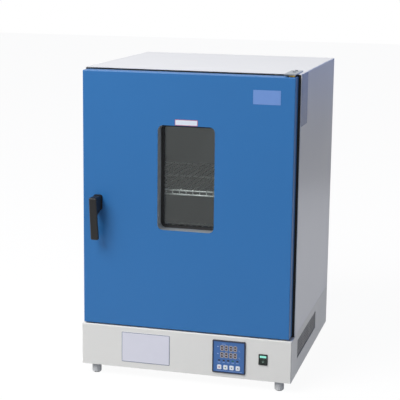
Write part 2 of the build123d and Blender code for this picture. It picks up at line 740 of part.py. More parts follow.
def motor():
    """The fan motor: a square lamination stack, two end covers and four hexagon posts under the deck."""
    half, cover = MOTOR_W / 2, MOTOR_COVER_W / 2
    middle = (MOTOR_Z0 + MOTOR_Z1) / 2
    stack_z = (middle - MOTOR_STACK_H / 2, middle + MOTOR_STACK_H / 2)
    stack = block((-half, half), (-half, half), stack_z)
    stack = chamfer(stack.edges().filter_by(Axis.Z), MOTOR_CORNER)
    covers = block((-cover, cover), (-cover, cover), (MOTOR_Z0, MOTOR_Z1))
    covers = chamfer(covers.edges(), MOTOR_CORNER)
    body = stack + covers
    side = MOTOR_POST_SIDE - MOTOR_CORNER
    for x, y in ((side, side), (side, -side), (-side, side), (-side, -side)):
        post = extrude(RegularPolygon(MOTOR_POST_R, 6), DECK_Z - SHEET - stack_z[1] + SHEET)
        body += Pos(x, y, stack_z[1] - SHEET) * post
    body -= rod_z(0, 0, SHAFT_R + RUN, MOTOR_Z0 - SHEET, MOTOR_Z1 + SHEET)
    return Pos(0, FAN_Y, 0) * body


def heater_leg_places():
    """Where the heaters' legs go down through the chamber's floor."""
    y = LINER_Y + HEATER_END
    return [(sx * x, y) for sx in (-1, 1) for x in (HEATER_X, HEATER_X + HEATER_PITCH)]


def heater_leg_room(side, gap, z0, z1):
    """A cutter for both legs of one heater: side is -1 for the left one and 1 for the right one."""
    half = HEATER_R + gap
    y = LINER_Y + HEATER_END
    across = sorted((side * (HEATER_X - half), side * (HEATER_X + HEATER_PITCH + half)))
    return block(across, (y - half, y + half), (z0, z1))


def heater():
    """The right heater: one tube with two legs, two long runs and a return bend."""
    x0, x1 = HEATER_X, HEATER_X + HEATER_PITCH
    y0, y1 = LINER_Y + HEATER_END, CHAMBER_BACK_Y - HEATER_END
    z0, z1 = DECK_Z - SHEET - HEATER_TAIL, CHAMBER_Z0 + HEATER_RISE
    first_leg = [(x0, y0, z0), (x0, y0, z1), (x0, y1, z1)]
    points = first_leg + [(x1, y, z) for _, y, z in reversed(first_leg)]
    turn = HEATER_PITCH / 2 - 0.01
    path = FilletPolyline(*points, radius=[HEATER_BEND_R, turn, turn, HEATER_BEND_R])
    section = RegularPolygon(HEATER_R, HEATER_SIDES)
    return sweep(Plane(origin=points[0], z_dir=(0, 0, 1)) * section, path=path)


def side_rack():
    """The right shelf rack: two upright straps with an angle ledge at each level."""
    x1 = CHAMBER_X
    x0 = x1 - SHEET
    y0, y1 = LINER_Y + LEDGE_END, CHAMBER_BACK_Y - LEDGE_END
    top = ledge_levels()[-1] + LEDGE_H + SHEET
    rack = None
    for y in (y0 + RACK_STRAP_END, y1 - RACK_STRAP_END - RACK_STRAP_W):
        strap = block((x0, x1), (y, y + RACK_STRAP_W), (BAFFLE_Z + SHEET + FIT, top))
        rack = strap if rack is None else rack + strap
    for level in ledge_levels():
        rack += block((x0, x1), (y0, y1), (level - SHEET, level + LEDGE_H))
        rack += block((x1 - LEDGE_W, x1), (y0, y1), (level - SHEET, level))
    return rack


def ledge_levels():
    """The height of each ledge's upper face: lower shelf, upper shelf and a spare one."""
    upper = CHAMBER_Z0 + SHELF_UPPER_RISE - SHELF_ROD_R - FIT
    return [upper - SHELF_PITCH, upper, upper + SPARE_LEDGE_RISE]


def shelf(rise):
    """A wire shelf: a round-cornered frame, cross rods and wires that bend down to the front rod."""
    z = CHAMBER_Z0 + rise
    y0, y1 = LINER_Y + SHELF_FRONT, CHAMBER_BACK_Y - SHELF_BACK
    half = CHAMBER_X - SHELF_SIDE
    rail = SHELF_ROD_R
    outline = RectangleRounded(2 * (half - rail), y1 - y0 - 2 * rail, SHELF_CORNER_R)
    path = outline.wire()
    along = path % 0
    start = Plane(origin=path @ 0, x_dir=along.cross(Vector(0, 0, 1)), z_dir=along)
    frame = Pos(0, (y0 + y1) / 2, z) * sweep(start * RegularPolygon(rail, 6), path=path)
    rest = z + rail * HEX_FLAT
    rods = []
    for index in range(SHELF_CROSS_RODS):
        y = y0 + (y1 - y0) * (index + 1) / (SHELF_CROSS_RODS + 1)
        rods.append(hexagon_bar(y, rest - RUN - SHELF_CROSS_R * HEX_FLAT, SHELF_CROSS_R, half - rail))
    lip_y = y0 - SHELF_WIRE_R - RUN
    lip_z = z - SHELF_LIP_DROP
    lip_half = half - SHELF_CORNER_R - LEDGE_W
    rods.append(hexagon_bar(lip_y, lip_z, SHELF_LIP_R, lip_half))
    wire_z = rest + SHELF_WIRE_R * HEX_FLAT - SHELF_WELD
    count = int((lip_half - SHELF_LIP_R) // SHELF_WIRE_PITCH)
    for index in range(-count, count + 1):
        rods.append(shelf_wire(index * SHELF_WIRE_PITCH, lip_y, y1 - rail, lip_z, wire_z))
    return frame.fuse(*rods)


def hexagon_bar(y, z, radius, half):
    """A hexagon bar along X with a flat on top, to the same distance on both sides."""
    end = Plane(origin=(-half, y, z), x_dir=(0, 1, 0), z_dir=(1, 0, 0))
    return extrude(end * RegularPolygon(radius, 6), 2 * half)


def shelf_wire(x, front, back, low, high):
    """One shelf wire: it runs forward over the frame and turns down to the front rod."""
    path = Polyline((x, back, high), (x, front, high), (x, front, low))
    end = Plane(origin=(x, back, high), x_dir=(1, 0, 0), z_dir=(0, -1, 0))
    return sweep(end * RegularPolygon(SHELF_WIRE_R, 6), path=path, transition=Transition.RIGHT)


def temperature_probe():
    """A sheathed probe through the back wall, with the hexagon nut that holds it."""
    back = CHAMBER_BACK_Y
    probe = rod_y(PROBE_X, PROBE_Z, PROBE_R, back - PROBE_IN, back + PROBE_OUT)
    nut = RegularPolygon(PROBE_NUT_R, 6)
    return probe + prism_y(nut, PROBE_X, PROBE_Z, back - PROBE_NUT_T, back)


# Exhaust


def exhaust_pipe():
    """The exhaust tube from the chamber through the wool and the back panel."""
    y0 = CHAMBER_BACK_Y - SHEET
    pipe = rod_y(0, EXHAUST_Z, EXHAUST_R, y0, PIPE_END_Y)
    return pipe - rod_y(0, EXHAUST_Z, EXHAUST_R - SHEET, y0 - SHEET, PIPE_END_Y + SHEET)


def port_cutter(y0, y1):
    """Sector-shaped ports, evenly spaced round the exhaust's axis."""
    outer = CenterArc((0, 0), EXHAUST_PORT_OUTER_R, 0, EXHAUST_PORT_ANGLE)
    inner = CenterArc((0, 0), EXHAUST_PORT_INNER_R, 0, EXHAUST_PORT_ANGLE)
    sector = make_face(
        [
            outer,
            Line(outer @ 1, inner @ 1),
            inner,
            Line(inner @ 0, outer @ 0),
        ]
    )
    sectors = [Rot(0, 0, 360.0 * index / EXHAUST_PORTS) * sector for index in range(EXHAUST_PORTS)]
    return [prism_y(part, 0, EXHAUST_Z, y0, y1) for part in sectors]


def exhaust_disc():
    """The fixed port plate in the pipe's end, with the pin that the damper turns on."""
    y0, y1 = PIPE_END_Y - EXHAUST_DISC_T, PIPE_END_Y
    disc = rod_y(0, EXHAUST_Z, EXHAUST_R - SHEET - RUN, y0, y1)
    disc -= port_cutter(y0 - SHEET, y1 + SHEET)
    return disc + rod_y(0, EXHAUST_Z, EXHAUST_PIN_R, y0, DAMPER_Y + EXHAUST_DISC_T + EXHAUST_PIN_OUT - FIT)


def exhaust_damper():
    """The turning port plate with its grip bar."""
    y0, y1 = DAMPER_Y, DAMPER_Y + EXHAUST_DISC_T
    plate = rod_y(0, EXHAUST_Z, EXHAUST_DAMPER_R, y0, y1)
    plate -= port_cutter(y0 - SHEET, y1 + SHEET)
    half = EXHAUST_GRIP_T / 2
    grip_z = (EXHAUST_Z - EXHAUST_GRIP_R, EXHAUST_Z + EXHAUST_GRIP_R)
    grip = block((-half, half), (y1, REAR_REACH), grip_z)
    grip = chamfer(grip.faces().sort_by(Axis.Y)[-1].edges(), EXHAUST_PIN_R / 2)
    return plate + grip - rod_y(0, EXHAUST_Z, EXHAUST_PIN_R + RUN, y0 - SHEET, y1 + EXHAUST_PIN_OUT)


# Door


def door_skin():
    """The folded outer pan of the door, with the window opening, a lip at the back and its holes."""
    x = (DOOR_X0, DOOR_X1)
    z = (DOOR_Z0, DOOR_Z1)
    outer = block(x, (0, DOOR_T), z)
    outer = fillet(outer.edges().filter_by(Axis.Y) + outer.faces().sort_by(Axis.Y)[0].edges(), BEND_R)
    inner = block((x[0] + SHEET, x[1] - SHEET), (SHEET, DOOR_T - SHEET), (z[0] + SHEET, z[1] - SHEET))
    inner_edges = inner.edges().filter_by(Axis.Y) + inner.faces().sort_by(Axis.Y)[0].edges()
    inner = chamfer(inner_edges, (BEND_R - SHEET) * BEND_BEVEL)
    rear = block(
        (x[0] + DOOR_LIP, x[1] - DOOR_LIP),
        (DOOR_T - 2 * SHEET, DOOR_T + SHEET),
        (z[0] + DOOR_LIP, z[1] - DOOR_LIP),
    )
    skin = outer - inner - rear
    skin -= prism_y(window_outline(0), DOOR_X, WINDOW_Z, -SHEET, 2 * SHEET)
    skin -= rod_y(SPINDLE_X, SPINDLE_Z, SPINDLE_R + 2 * FIT, -SHEET, 2 * SHEET)
    for z_low, z_high in ((z[0] - SHEET, z[0] + 2 * SHEET), (z[1] - 2 * SHEET, z[1] + SHEET)):
        skin -= rod_z(PIN_X, PIN_Y, BUSH_R + RUN, z_low, z_high)
    return skin


def window_outline(grow):
    """The window opening, grown all round."""
    return rounded(WINDOW_W + 2 * grow, WINDOW_H + 2 * grow, WINDOW_R + grow)


def door_inner():
    """The stainless inner pan of the door: a flat border and a raised plug that enters the chamber."""
    gap = SHEET + FIT
    border_x = (DOOR_X0 + gap, DOOR_X1 - gap)
    border = block(border_x, (INNER_Y, INNER_Y + SHEET), (DOOR_Z0 + gap, DOOR_Z1 - gap))
    border = fillet(border.edges().filter_by(Axis.Y), BEND_R)
    half = CHAMBER_X - PLUG_GAP
    z0, z1 = CHAMBER_Z0 + PLUG_GAP, CHAMBER_Z1 - PLUG_GAP
    plug = block((-half, half), (INNER_Y, PLUG_Y), (z0, z1))
    plug = chamfer(plug.edges().filter_by(Axis.Y) + plug.faces().sort_by(Axis.Y)[-1].edges(), PLUG_EDGE)
    hollow_x = (-half + SHEET, half - SHEET)
    hollow = block(hollow_x, (INNER_Y - SHEET, PLUG_Y - SHEET), (z0 + SHEET, z1 - SHEET))
    room_edges = hollow.edges().filter_by(Axis.Y) + hollow.faces().sort_by(Axis.Y)[-1].edges()
    hollow = chamfer(room_edges, PLUG_EDGE - SHEET / 2)
    pan = border + plug - hollow
    pan -= prism_y(window_outline(SHEET + FIT), DOOR_X, WINDOW_Z, INNER_Y - SHEET, PLUG_Y + SHEET)
    return pan - rod_y(SPINDLE_X, SPINDLE_Z, CAM_HUB_R + FIT, INNER_Y - SHEET, DOOR_T + SHEET)


def door_insulation():
    """The door's mineral wool, cut away for the window, the spindle and the hinge bushes."""
    gap = SHEET + FIT
    wool = block((DOOR_X0 + gap, DOOR_X1 - gap), (gap, INNER_Y - FIT), (DOOR_Z0 + gap, DOOR_Z1 - gap))
    wool = chamfer(wool.edges().filter_by(Axis.Y) + wool.faces().sort_by(Axis.Y)[0].edges(), BEND_R / 2)
    margin = PLUG_GAP + PLUG_EDGE + SHEET
    half = CHAMBER_X - margin
    low, high = CHAMBER_Z0 + margin, CHAMBER_Z1 - margin
    wool += block((-half, half), (INNER_Y - 2 * FIT, PLUG_Y - SHEET - FIT), (low, high))
    wool -= prism_y(window_outline(TRIM_W + FIT), DOOR_X, WINDOW_Z, 0, PLUG_Y)
    wool -= rod_y(SPINDLE_X, SPINDLE_Z, CAM_HUB_R + 2 * FIT, 0, DOOR_T)
    room = PIN_BITE + 2 * SHEET
    notch_x = (PIN_X - BUSH_FLANGE_R - FIT, DOOR_X1)
    for low, high in ((DOOR_Z0, DOOR_Z0 + room), (DOOR_Z1 - room, DOOR_Z1)):
        wool -= block(notch_x, (0, DOOR_T), (low, high))
    return wool


def door_gasket():
    """The soft seal ring on the back of the door."""
    y0, y1 = INNER_Y + SHEET, STRIP_Y - FIT
    half, low, high = gasket_box(GASKET_W / 2)
    outer = rounded(2 * half, high - low, GASKET_CORNER_R)
    inner = rounded(2 * (half - GASKET_W), high - low - 2 * GASKET_W, GASKET_CORNER_R - GASKET_W)
    return ring_y(outer, inner, DOOR_X, (low + high) / 2, y0, y1)


def window_frame():
    """The stainless tunnel round the glass: a tube with a flange behind the skin and a trim at the plug."""
    tube = ring_y(window_outline(SHEET), window_outline(0), DOOR_X, WINDOW_Z, SHEET, PLUG_Y + SHEET)
    front = ring_y(window_outline(TRIM_W), window_outline(0), DOOR_X, WINDOW_Z, SHEET, 2 * SHEET)
    back = ring_y(window_outline(TRIM_W), window_outline(0), DOOR_X, WINDOW_Z, PLUG_Y, PLUG_Y + SHEET)
    return tube + front + back


def glass_pane(front):
    """One pane of toughened glass, a little smaller than the tunnel."""
    return prism_y(window_outline(-FIT), DOOR_X, WINDOW_Z, front, front + GLASS_T)


def glass_depths():
    """The front plane of the outer and of the inner pane."""
    inner = PLUG_Y + SHEET - GLASS_INSET - GLASS_T
    return [inner - GLASS_GAP - GLASS_T, inner]


def window_seals():
    """The rubber frame in front of the outer pane and the spacer between the panes."""
    outer, inner = window_outline(-RUN), window_outline(-GLASS_SEAL_W)
    first, second = glass_depths()
    front = ring_y(outer, inner, DOOR_X, WINDOW_Z, first - GLASS_SEAL_T, first)
    spacer = ring_y(outer, inner, DOOR_X, WINDOW_Z, first + GLASS_T, second)
    return Compound([front, spacer])


def handle_rosette():
    """The fixed plate under the lever, with the bearing hole for its spindle."""
    width = LEVER_W + 2 * ROSETTE_BORDER
    height = HUB_H + 2 * ROSETTE_BORDER
    centre_z = SPINDLE_Z + LEVER_TOP - HUB_H / 2
    plate = prism_y(rounded(width, height, ROSETTE_R), SPINDLE_X, centre_z, -ROSETTE_T, 0)
    return plate - rod_y(SPINDLE_X, SPINDLE_Z, SPINDLE_R + RUN, -2 * ROSETTE_T, ROSETTE_T)


def handle_lever():
    """The moulded lever: a deep hub, a grip that leans towards the door and rounded edges."""
    root = -ROSETTE_T - FIT
    neck = LEVER_TOP - HUB_H
    outline = Polyline(
        (root, LEVER_TOP),
        (-LEVER_REACH, LEVER_TOP),
        (-LEVER_TIP_REACH, -LEVER_DROP),
        (LEVER_TIP_T - LEVER_TIP_REACH, -LEVER_DROP),
        (LEVER_GRIP_T - LEVER_REACH, neck - LEVER_SHOULDER),
        (root, neck),
        (root, LEVER_TOP),
    )
    profile = make_face(outline)
    profile = fillet(profile.vertices().filter_by(lambda corner: corner.X < root - FIT), LEVER_CORNER_R)
    side = Plane(origin=(SPINDLE_X - LEVER_W / 2, 0, SPINDLE_Z), x_dir=(0, 1, 0), z_dir=(1, 0, 0))
    lever = extrude(side * profile, LEVER_W)
    flanks = lever.faces().sort_by(Axis.X)
    edges = flanks[0].edges() + flanks[-1].edges()
    lever = chamfer(edges.filter_by(lambda edge: edge.center().Y < root - FIT), LEVER_EDGE)
    return lever - rod_y(SPINDLE_X, SPINDLE_Z, SPINDLE_R + RUN, -LEVER_REACH / 2, 0)


def latch_cam():
    """The spindle through the door and the cam on its end, upright and free of the keeper at rest."""
    spindle = rod_y(SPINDLE_X, SPINDLE_Z, SPINDLE_R, -LEVER_REACH / 2, CAM_Y + CAM_T)
    hub = rod_y(SPINDLE_X, SPINDLE_Z, CAM_HUB_R, CAM_Y, CAM_Y + CAM_T)
    half = CAM_W / 2
    tongue_x = (SPINDLE_X - half, SPINDLE_X + half)
    tongue = block(tongue_x, (CAM_Y, CAM_Y + CAM_T), (SPINDLE_Z, SPINDLE_Z + CAM_L))
    tongue = fillet(tongue.edges().filter_by(Axis.Y).group_by(Axis.Z)[-1], CAM_W / 3)
    return spindle + hub + tongue


# Hinges


def hinge_plate_top():
    """The plate on the cabinet's top that carries the upper door pin."""
    x1 = PIN_X + HINGE_PLATE_OUT
    plate = block((x1 - HINGE_PLATE_W, x1), (0, HINGE_PLATE_L), (TOP_Z, TOP_Z + HINGE_PLATE_T))
    plate = fillet(plate.edges().filter_by(Axis.Z), HINGE_PLATE_R)
    plate -= rod_z(PIN_X, PIN_Y, PIN_R + RUN, TOP_Z - SHEET, TOP_Z + 2 * HINGE_PLATE_T)
    for x, y in hinge_screw_places():
        plate -= rod_z(x, y, HINGE_SCREW_R + FIT, TOP_Z - SHEET, TOP_Z + 2 * HINGE_PLATE_T)
    return plate


def hinge_screw_places():
    """The two screws at the rear end of the top hinge plate."""
    x = PIN_X + HINGE_PLATE_OUT - HINGE_PLATE_W / 2
    last = HINGE_PLATE_L - HINGE_SCREW_END
    return [(x, last - HINGE_SCREW_PITCH), (x, last)]


def hinge_screws():
    """Hexagon-head screws of the top hinge plate."""
    top = TOP_Z + HINGE_PLATE_T
    head = extrude(RegularPolygon(HINGE_SCREW_HEAD_R, 6), HINGE_SCREW_HEAD_T)
    shank = extrude(RegularPolygon(HINGE_SCREW_R, 6), HINGE_PLATE_T)
    places = hinge_screw_places()
    return Compound([Pos(x, y, top) * head + Pos(x, y, TOP_Z) * shank for x, y in places])


def hinge_plate_bottom():
    """The stiffening plate under the deck that carries the lower door pin."""
    x1 = PIN_X + HINGE_PLATE_OUT
    z1 = DECK_Z - SHEET
    plate_y = (2 * SHEET, 2 * SHEET + LOWER_PLATE_L)
    plate = block((x1 - HINGE_PLATE_W, x1), plate_y, (z1 - HINGE_PLATE_T, z1))
    return plate - rod_z(PIN_X, PIN_Y, PIN_R + RUN, z1 - 2 * HINGE_PLATE_T, z1 + SHEET)


def hinge_pins():
    """The two short pins that the door turns on."""
    upper = rod_z(PIN_X, PIN_Y, PIN_R, DOOR_Z1 - PIN_BITE, TOP_Z + HINGE_PLATE_T)
    lower = rod_z(PIN_X, PIN_Y, PIN_R, DECK_Z - SHEET - HINGE_PLATE_T, DOOR_Z0 + PIN_BITE)
    return Compound([upper, lower])


def hinge_bushes():
    """The flanged bushes in the door's edges, whose flanges take the door's weight."""
    bushes = []
    for face, flange_end, depth_end in (
        (DOOR_Z0, DECK_Z + FIT, DOOR_Z0 + PIN_BITE + SHEET),
        (DOOR_Z1, TOP_Z - FIT, DOOR_Z1 - PIN_BITE - SHEET),
    ):
        low, high = sorted((face, flange_end))
        bush = rod_z(PIN_X, PIN_Y, BUSH_FLANGE_R, low, high)
        low, high = sorted((face, depth_end))
        bush += rod_z(PIN_X, PIN_Y, BUSH_R, low, high)
        low, high = sorted((flange_end, depth_end))
        bushes.append(bush - rod_z(PIN_X, PIN_Y, PIN_R + RUN, low - SHEET, high + SHEET))
    return Compound(bushes)


# Front controls


def controller_case():
    """The controller's case: a square bezel on the front and the box behind the panel."""
    z = CONTROL_Z
    bezel = prism_y(rounded(CONTROL_SIZE, CONTROL_SIZE, CONTROL_R), CONTROL_X, z, -CONTROL_PROUD, 0)
    bezel = chamfer(bezel.faces().sort_by(Axis.Y)[0].edges(), CONTROL_R / 3)
    case = bezel + prism_y(Rectangle(CONTROL_BODY, CONTROL_BODY), CONTROL_X, z, 0, CONTROL_BODY_D)
    opening = CONTROL_SIZE - 2 * CONTROL_BORDER
    seat = face_depth() + FACE_T
    case -= prism_y(Rectangle(opening, opening), CONTROL_X, z, -2 * CONTROL_PROUD, seat)
    row = Rectangle(KEY_COUNT * KEY_PITCH, KEY_H + 2 * KEY_GAP)
    return case - prism_y(row, CONTROL_X, z - KEY_DROP, seat - SHEET, seat + FACE_T + KEY_TRAVEL + FIT)


def face_depth():
    """The front plane of the controller's face plate."""
    return -CONTROL_PROUD + FACE_RECESS


def key_places():
    """The X place of each key."""
    first = CONTROL_X - KEY_PITCH * (KEY_COUNT - 1) / 2
    return [first + KEY_PITCH * index for index in range(KEY_COUNT)]


def controller_face():
    """The blue face plate with an opening for each key."""
    z = CONTROL_Z
    size = CONTROL_SIZE - 2 * CONTROL_BORDER - 2 * RUN
    front = face_depth()
    plate = prism_y(Rectangle(size, size), CONTROL_X, z, front, front + FACE_T)
    for x in key_places():
        hole = key_outline(KEY_GAP)
        plate -= prism_y(hole, x, z - KEY_DROP, front - FACE_T, front + 2 * FACE_T)
    return plate


def key_outline(gap):
    """A key's outline with its corners cut, grown by a gap all round."""
    outline = Rectangle(KEY_W + 2 * gap, KEY_H + 2 * gap)
    return chamfer(outline.vertices(), KEY_CORNER)


def key(x):
    """One push key, standing a little proud of the face plate."""
    z = CONTROL_Z - KEY_DROP
    front = face_depth()
    cap = prism_y(key_outline(0), x, z, front - KEY_PROUD, front + 2 * FACE_T)
    return chamfer(cap.faces().sort_by(Axis.Y)[0].edges(), KEY_PROUD / 3)


def switch_body_size():
    """The width and height of the switch body behind the panel."""
    return SWITCH_W - 2 * SWITCH_STEP, SWITCH_H - 2 * SWITCH_STEP


def switch_frame():
    """The switch's frame and body, open in front for the rocker, with sockets for its axle."""
    x, z = SWITCH_X, SWITCH_Z
    body_w, body_h = switch_body_size()
    frame = prism_y(rounded(SWITCH_W, SWITCH_H, SWITCH_CORNER_R), x, z, -SWITCH_PROUD, 0)
    frame += prism_y(Rectangle(body_w, body_h), x, z, 0, SWITCH_BODY_D)
    half_w = SWITCH_W / 2 - SWITCH_BORDER
    half_h = ROCKER_R + FIT
    frame -= block((x - half_w, x + half_w), (-2 * SWITCH_PROUD, SWITCH_WELL_D), (z - half_h, z + half_h))
    axle = half_w + ROCKER_AXLE_BITE
    return frame - rod_x(ROCKER_AXIS_Y, z, ROCKER_AXLE_R + RUN, x - axle, x + axle)


def rocker():
    """The rocker, at rest with its upper end pressed: a slice of a drum with a dished front."""
    half_w = SWITCH_W / 2 - SWITCH_BORDER - FIT
    drum = Rot(0, 90, 0) * Cylinder(ROCKER_R, 2 * half_w)
    ends = -ROCKER_PROUD - ROCKER_CROWN
    cap = drum & block((-half_w, half_w), (ends, ROCKER_BACK), (-ROCKER_R, ROCKER_R))
    beyond = -ROCKER_R - ROCKER_CROWN
    dish = Polyline(
        (ends, -ROCKER_R),
        (ROCKER_DIP - ROCKER_PROUD, 0),
        (ends, ROCKER_R),
        (beyond, ROCKER_R),
        (beyond, -ROCKER_R),
        (ends, -ROCKER_R),
    )
    side = Plane(origin=(-half_w - FIT, 0, 0), x_dir=(0, 1, 0), z_dir=(1, 0, 0))
    cap -= extrude(side * make_face(dish), 2 * (half_w + FIT))
    axle = half_w + ROCKER_AXLE_BITE
    cap += rod_x(0, 0, ROCKER_AXLE_R, -axle, axle)
    return Pos(SWITCH_X, ROCKER_AXIS_Y, SWITCH_Z) * Rot(-ROCKER_TILT, 0, 0) * cap


# Inside and behind the base


def relay():
    """The heater relay on its finned heat sink, on the base pan."""
    z0 = BASE_Z + SHEET
    mid_x, mid_y = HALF_W - RELAY_SIDE, OVEN_D - RELAY_BACK
    x0, x1 = mid_x - SINK_W / 2, mid_x + SINK_W / 2
    y0, y1 = mid_y - SINK_L / 2, mid_y + SINK_L / 2
    plate_z = z0 + SINK_FIN_H
    sink = block((x0, x1), (y0, y1), (plate_z, plate_z + SINK_T))
    pitch = (SINK_W - SINK_FIN_T) / (SINK_FINS - 1)
    for index in range(SINK_FINS):
        x = x0 + index * pitch
        sink += block((x, x + SINK_FIN_T), (y0, y1), (z0, plate_z))
    brick_z = plate_z + SINK_T
    brick_x = (mid_x - RELAY_W / 2, mid_x + RELAY_W / 2)
    brick_y = (mid_y - RELAY_L / 2, mid_y + RELAY_L / 2)
    return sink + block(brick_x, brick_y, (brick_z, brick_z + RELAY_T))


def terminal_block():
    """The mains terminal strip, with a barrier between each two ways."""
    z0 = BASE_Z + SHEET
    x0 = TERMINAL_SIDE - HALF_W - TERMINAL_W / 2
    y0 = OVEN_D - TERMINAL_BACK - TERMINAL_D / 2
    y1 = y0 + TERMINAL_D
    strip = block((x0, x0 + TERMINAL_W), (y0, y1), (z0, z0 + TERMINAL_H))
    pitch = TERMINAL_W / TERMINAL_WAYS
    for index in range(TERMINAL_WAYS):
        x = x0 + (index + 0.5) * pitch
        half = pitch * 0.36
        for low, high in ((y0 - SHEET, y0 + TERMINAL_STEP), (y1 - TERMINAL_STEP, y1 + SHEET)):
            strip -= block((x - half, x + half), (low, high), (z0 + TERMINAL_H / 2, z0 + 2 * TERMINAL_H))
    return strip


def cable_gland():
    """The gland for the mains lead: a hexagon outside, a tube through the panel and a nut inside."""
    z = GLAND_Z
    inner_end = SHELL_BACK_Y - GLAND_IN
    outer_end = OVEN_D + GLAND_OUT
    hexagon = RegularPolygon(GLAND_NUT_R, 6)
    gland = rod_y(GLAND_X, z, GLAND_R, inner_end, OVEN_D)
    gland += prism_y(hexagon, GLAND_X, z, OVEN_D, outer_end)
    gland += prism_y(hexagon, GLAND_X, z, SHELL_BACK_Y - GLAND_NUT_T, SHELL_BACK_Y)
    return gland - rod_y(GLAND_X, z, GLAND_BORE_R, inner_end - SHEET, outer_end + SHEET)


def fuse_holder():
    """The panel fuse holder: its cap outside and its barrel inside."""
    z = GLAND_Z
    holder = rod_y(FUSE_X, z, FUSE_R, SHELL_BACK_Y - FUSE_IN, OVEN_D)
    return holder + rod_y(FUSE_X, z, FUSE_CAP_R, OVEN_D, OVEN_D + FUSE_CAP_T)


def pieces():
    """Every sub-part by name."""
    made = {
        "feet": feet(),
        "base_cover": base_cover(),
        "base_pan": base_pan(),
        "base_back": base_back(),
        "vent_grille_right": vent_grille(),
        "vent_grille_left": mirrored(vent_grille()),
        "outer_shell": outer_shell(),
        "back_panel": back_panel(),
        "back_screws": back_screws(),
        "front_frame": front_frame(),
        "frame_seal": frame_seal(),
        "latch_keeper": latch_keeper(),
        "liner": liner(),
        "cabinet_insulation": cabinet_insulation(),
        "duct_panel_right": duct_panel(),
        "duct_panel_left": mirrored(duct_panel()),
        "floor_baffle": floor_baffle(),
        "inlet_guard": inlet_guard(),
        "impeller": impeller(),
        "fan_shaft": fan_shaft(),
        "motor": motor(),
        "heater_right": heater(),
        "heater_left": mirrored(heater()),
        "side_rack_right": side_rack(),
        "side_rack_left": mirrored(side_rack()),
        "shelf_upper": shelf(SHELF_UPPER_RISE),
        "shelf_lower": shelf(SHELF_UPPER_RISE - SHELF_PITCH),
        "temperature_probe": temperature_probe(),
        "exhaust_pipe": exhaust_pipe(),
        "exhaust_disc": exhaust_disc(),
        "exhaust_damper": exhaust_damper(),
        "door_skin": door_skin(),
        "door_inner": door_inner(),
        "door_insulation": door_insulation(),
        "door_gasket": door_gasket(),
        "window_frame": window_frame(),
        "window_seals": window_seals(),
        "outer_glass": glass_pane(glass_depths()[0]),
        "inner_glass": glass_pane(glass_depths()[1]),
        "handle_rosette": handle_rosette(),
        "handle_lever": handle_lever(),
        "latch_cam": latch_cam(),
        "hinge_plate_top": hinge_plate_top(),
        "hinge_plate_bottom": hinge_plate_bottom(),
        "hinge_screws": hinge_screws(),
        "hinge_pins": hinge_pins(),
        "hinge_bushes": hinge_bushes(),
        "controller_case": controller_case(),
        "controller_face": controller_face(),
        "switch_frame": switch_frame(),
        "switch_rocker": rocker(),
        "relay": relay(),
        "terminal_block": terminal_block(),
        "cable_gland": cable_gland(),
        "fuse_holder": fuse_holder(),
    }
    for index, x in enumerate(key_places()):
        made["key_" + str(index + 1)] = key(x)
    return made


for name, shape in pieces().items():
    save(name, shape)
print("origin moved back by", ORIGIN_Y, "reach behind", REAR_REACH)
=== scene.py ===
import json
import math

import bmesh
import bpy
from bpy.props import FloatProperty, FloatVectorProperty, PointerProperty
from mathutils import Matrix, Vector


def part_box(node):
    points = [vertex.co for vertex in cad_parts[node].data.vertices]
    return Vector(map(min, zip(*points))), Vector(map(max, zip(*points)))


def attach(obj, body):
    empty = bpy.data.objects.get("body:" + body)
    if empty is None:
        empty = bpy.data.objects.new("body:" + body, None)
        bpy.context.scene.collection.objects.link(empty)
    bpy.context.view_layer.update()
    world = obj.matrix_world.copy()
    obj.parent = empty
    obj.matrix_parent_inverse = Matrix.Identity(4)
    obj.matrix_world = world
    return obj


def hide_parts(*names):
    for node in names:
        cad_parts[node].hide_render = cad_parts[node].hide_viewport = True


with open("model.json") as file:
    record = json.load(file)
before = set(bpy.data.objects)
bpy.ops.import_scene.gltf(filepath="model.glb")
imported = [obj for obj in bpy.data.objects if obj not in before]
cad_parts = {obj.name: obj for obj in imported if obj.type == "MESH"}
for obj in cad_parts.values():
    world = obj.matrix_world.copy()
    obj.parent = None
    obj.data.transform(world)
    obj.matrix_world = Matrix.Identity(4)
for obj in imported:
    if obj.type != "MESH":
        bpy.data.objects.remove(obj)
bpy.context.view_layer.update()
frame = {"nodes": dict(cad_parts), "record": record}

bl_info = {
    "name": "Drying oven dressing",
    "version": (1, 0, 0),
    "blender": (4, 5, 0),
    "location": "View3D > Sidebar > Oven",
    "description": "Finishes, plates, controls and studio for a forced-air drying oven",
    "category": "Object",
}

MM = 0.001
RING_STEPS = 28

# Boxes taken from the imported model
DOOR_LOW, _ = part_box("door_skin")
BASE_LOW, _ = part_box("base_cover")
SHELL_LOW, SHELL_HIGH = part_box("outer_shell")
CASE_LOW, CASE_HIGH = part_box("controller_case")
FACE_LOW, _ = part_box("controller_face")
ROCKER_LOW, ROCKER_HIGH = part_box("switch_rocker")
WINDOW_LOW, WINDOW_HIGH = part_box("outer_glass")

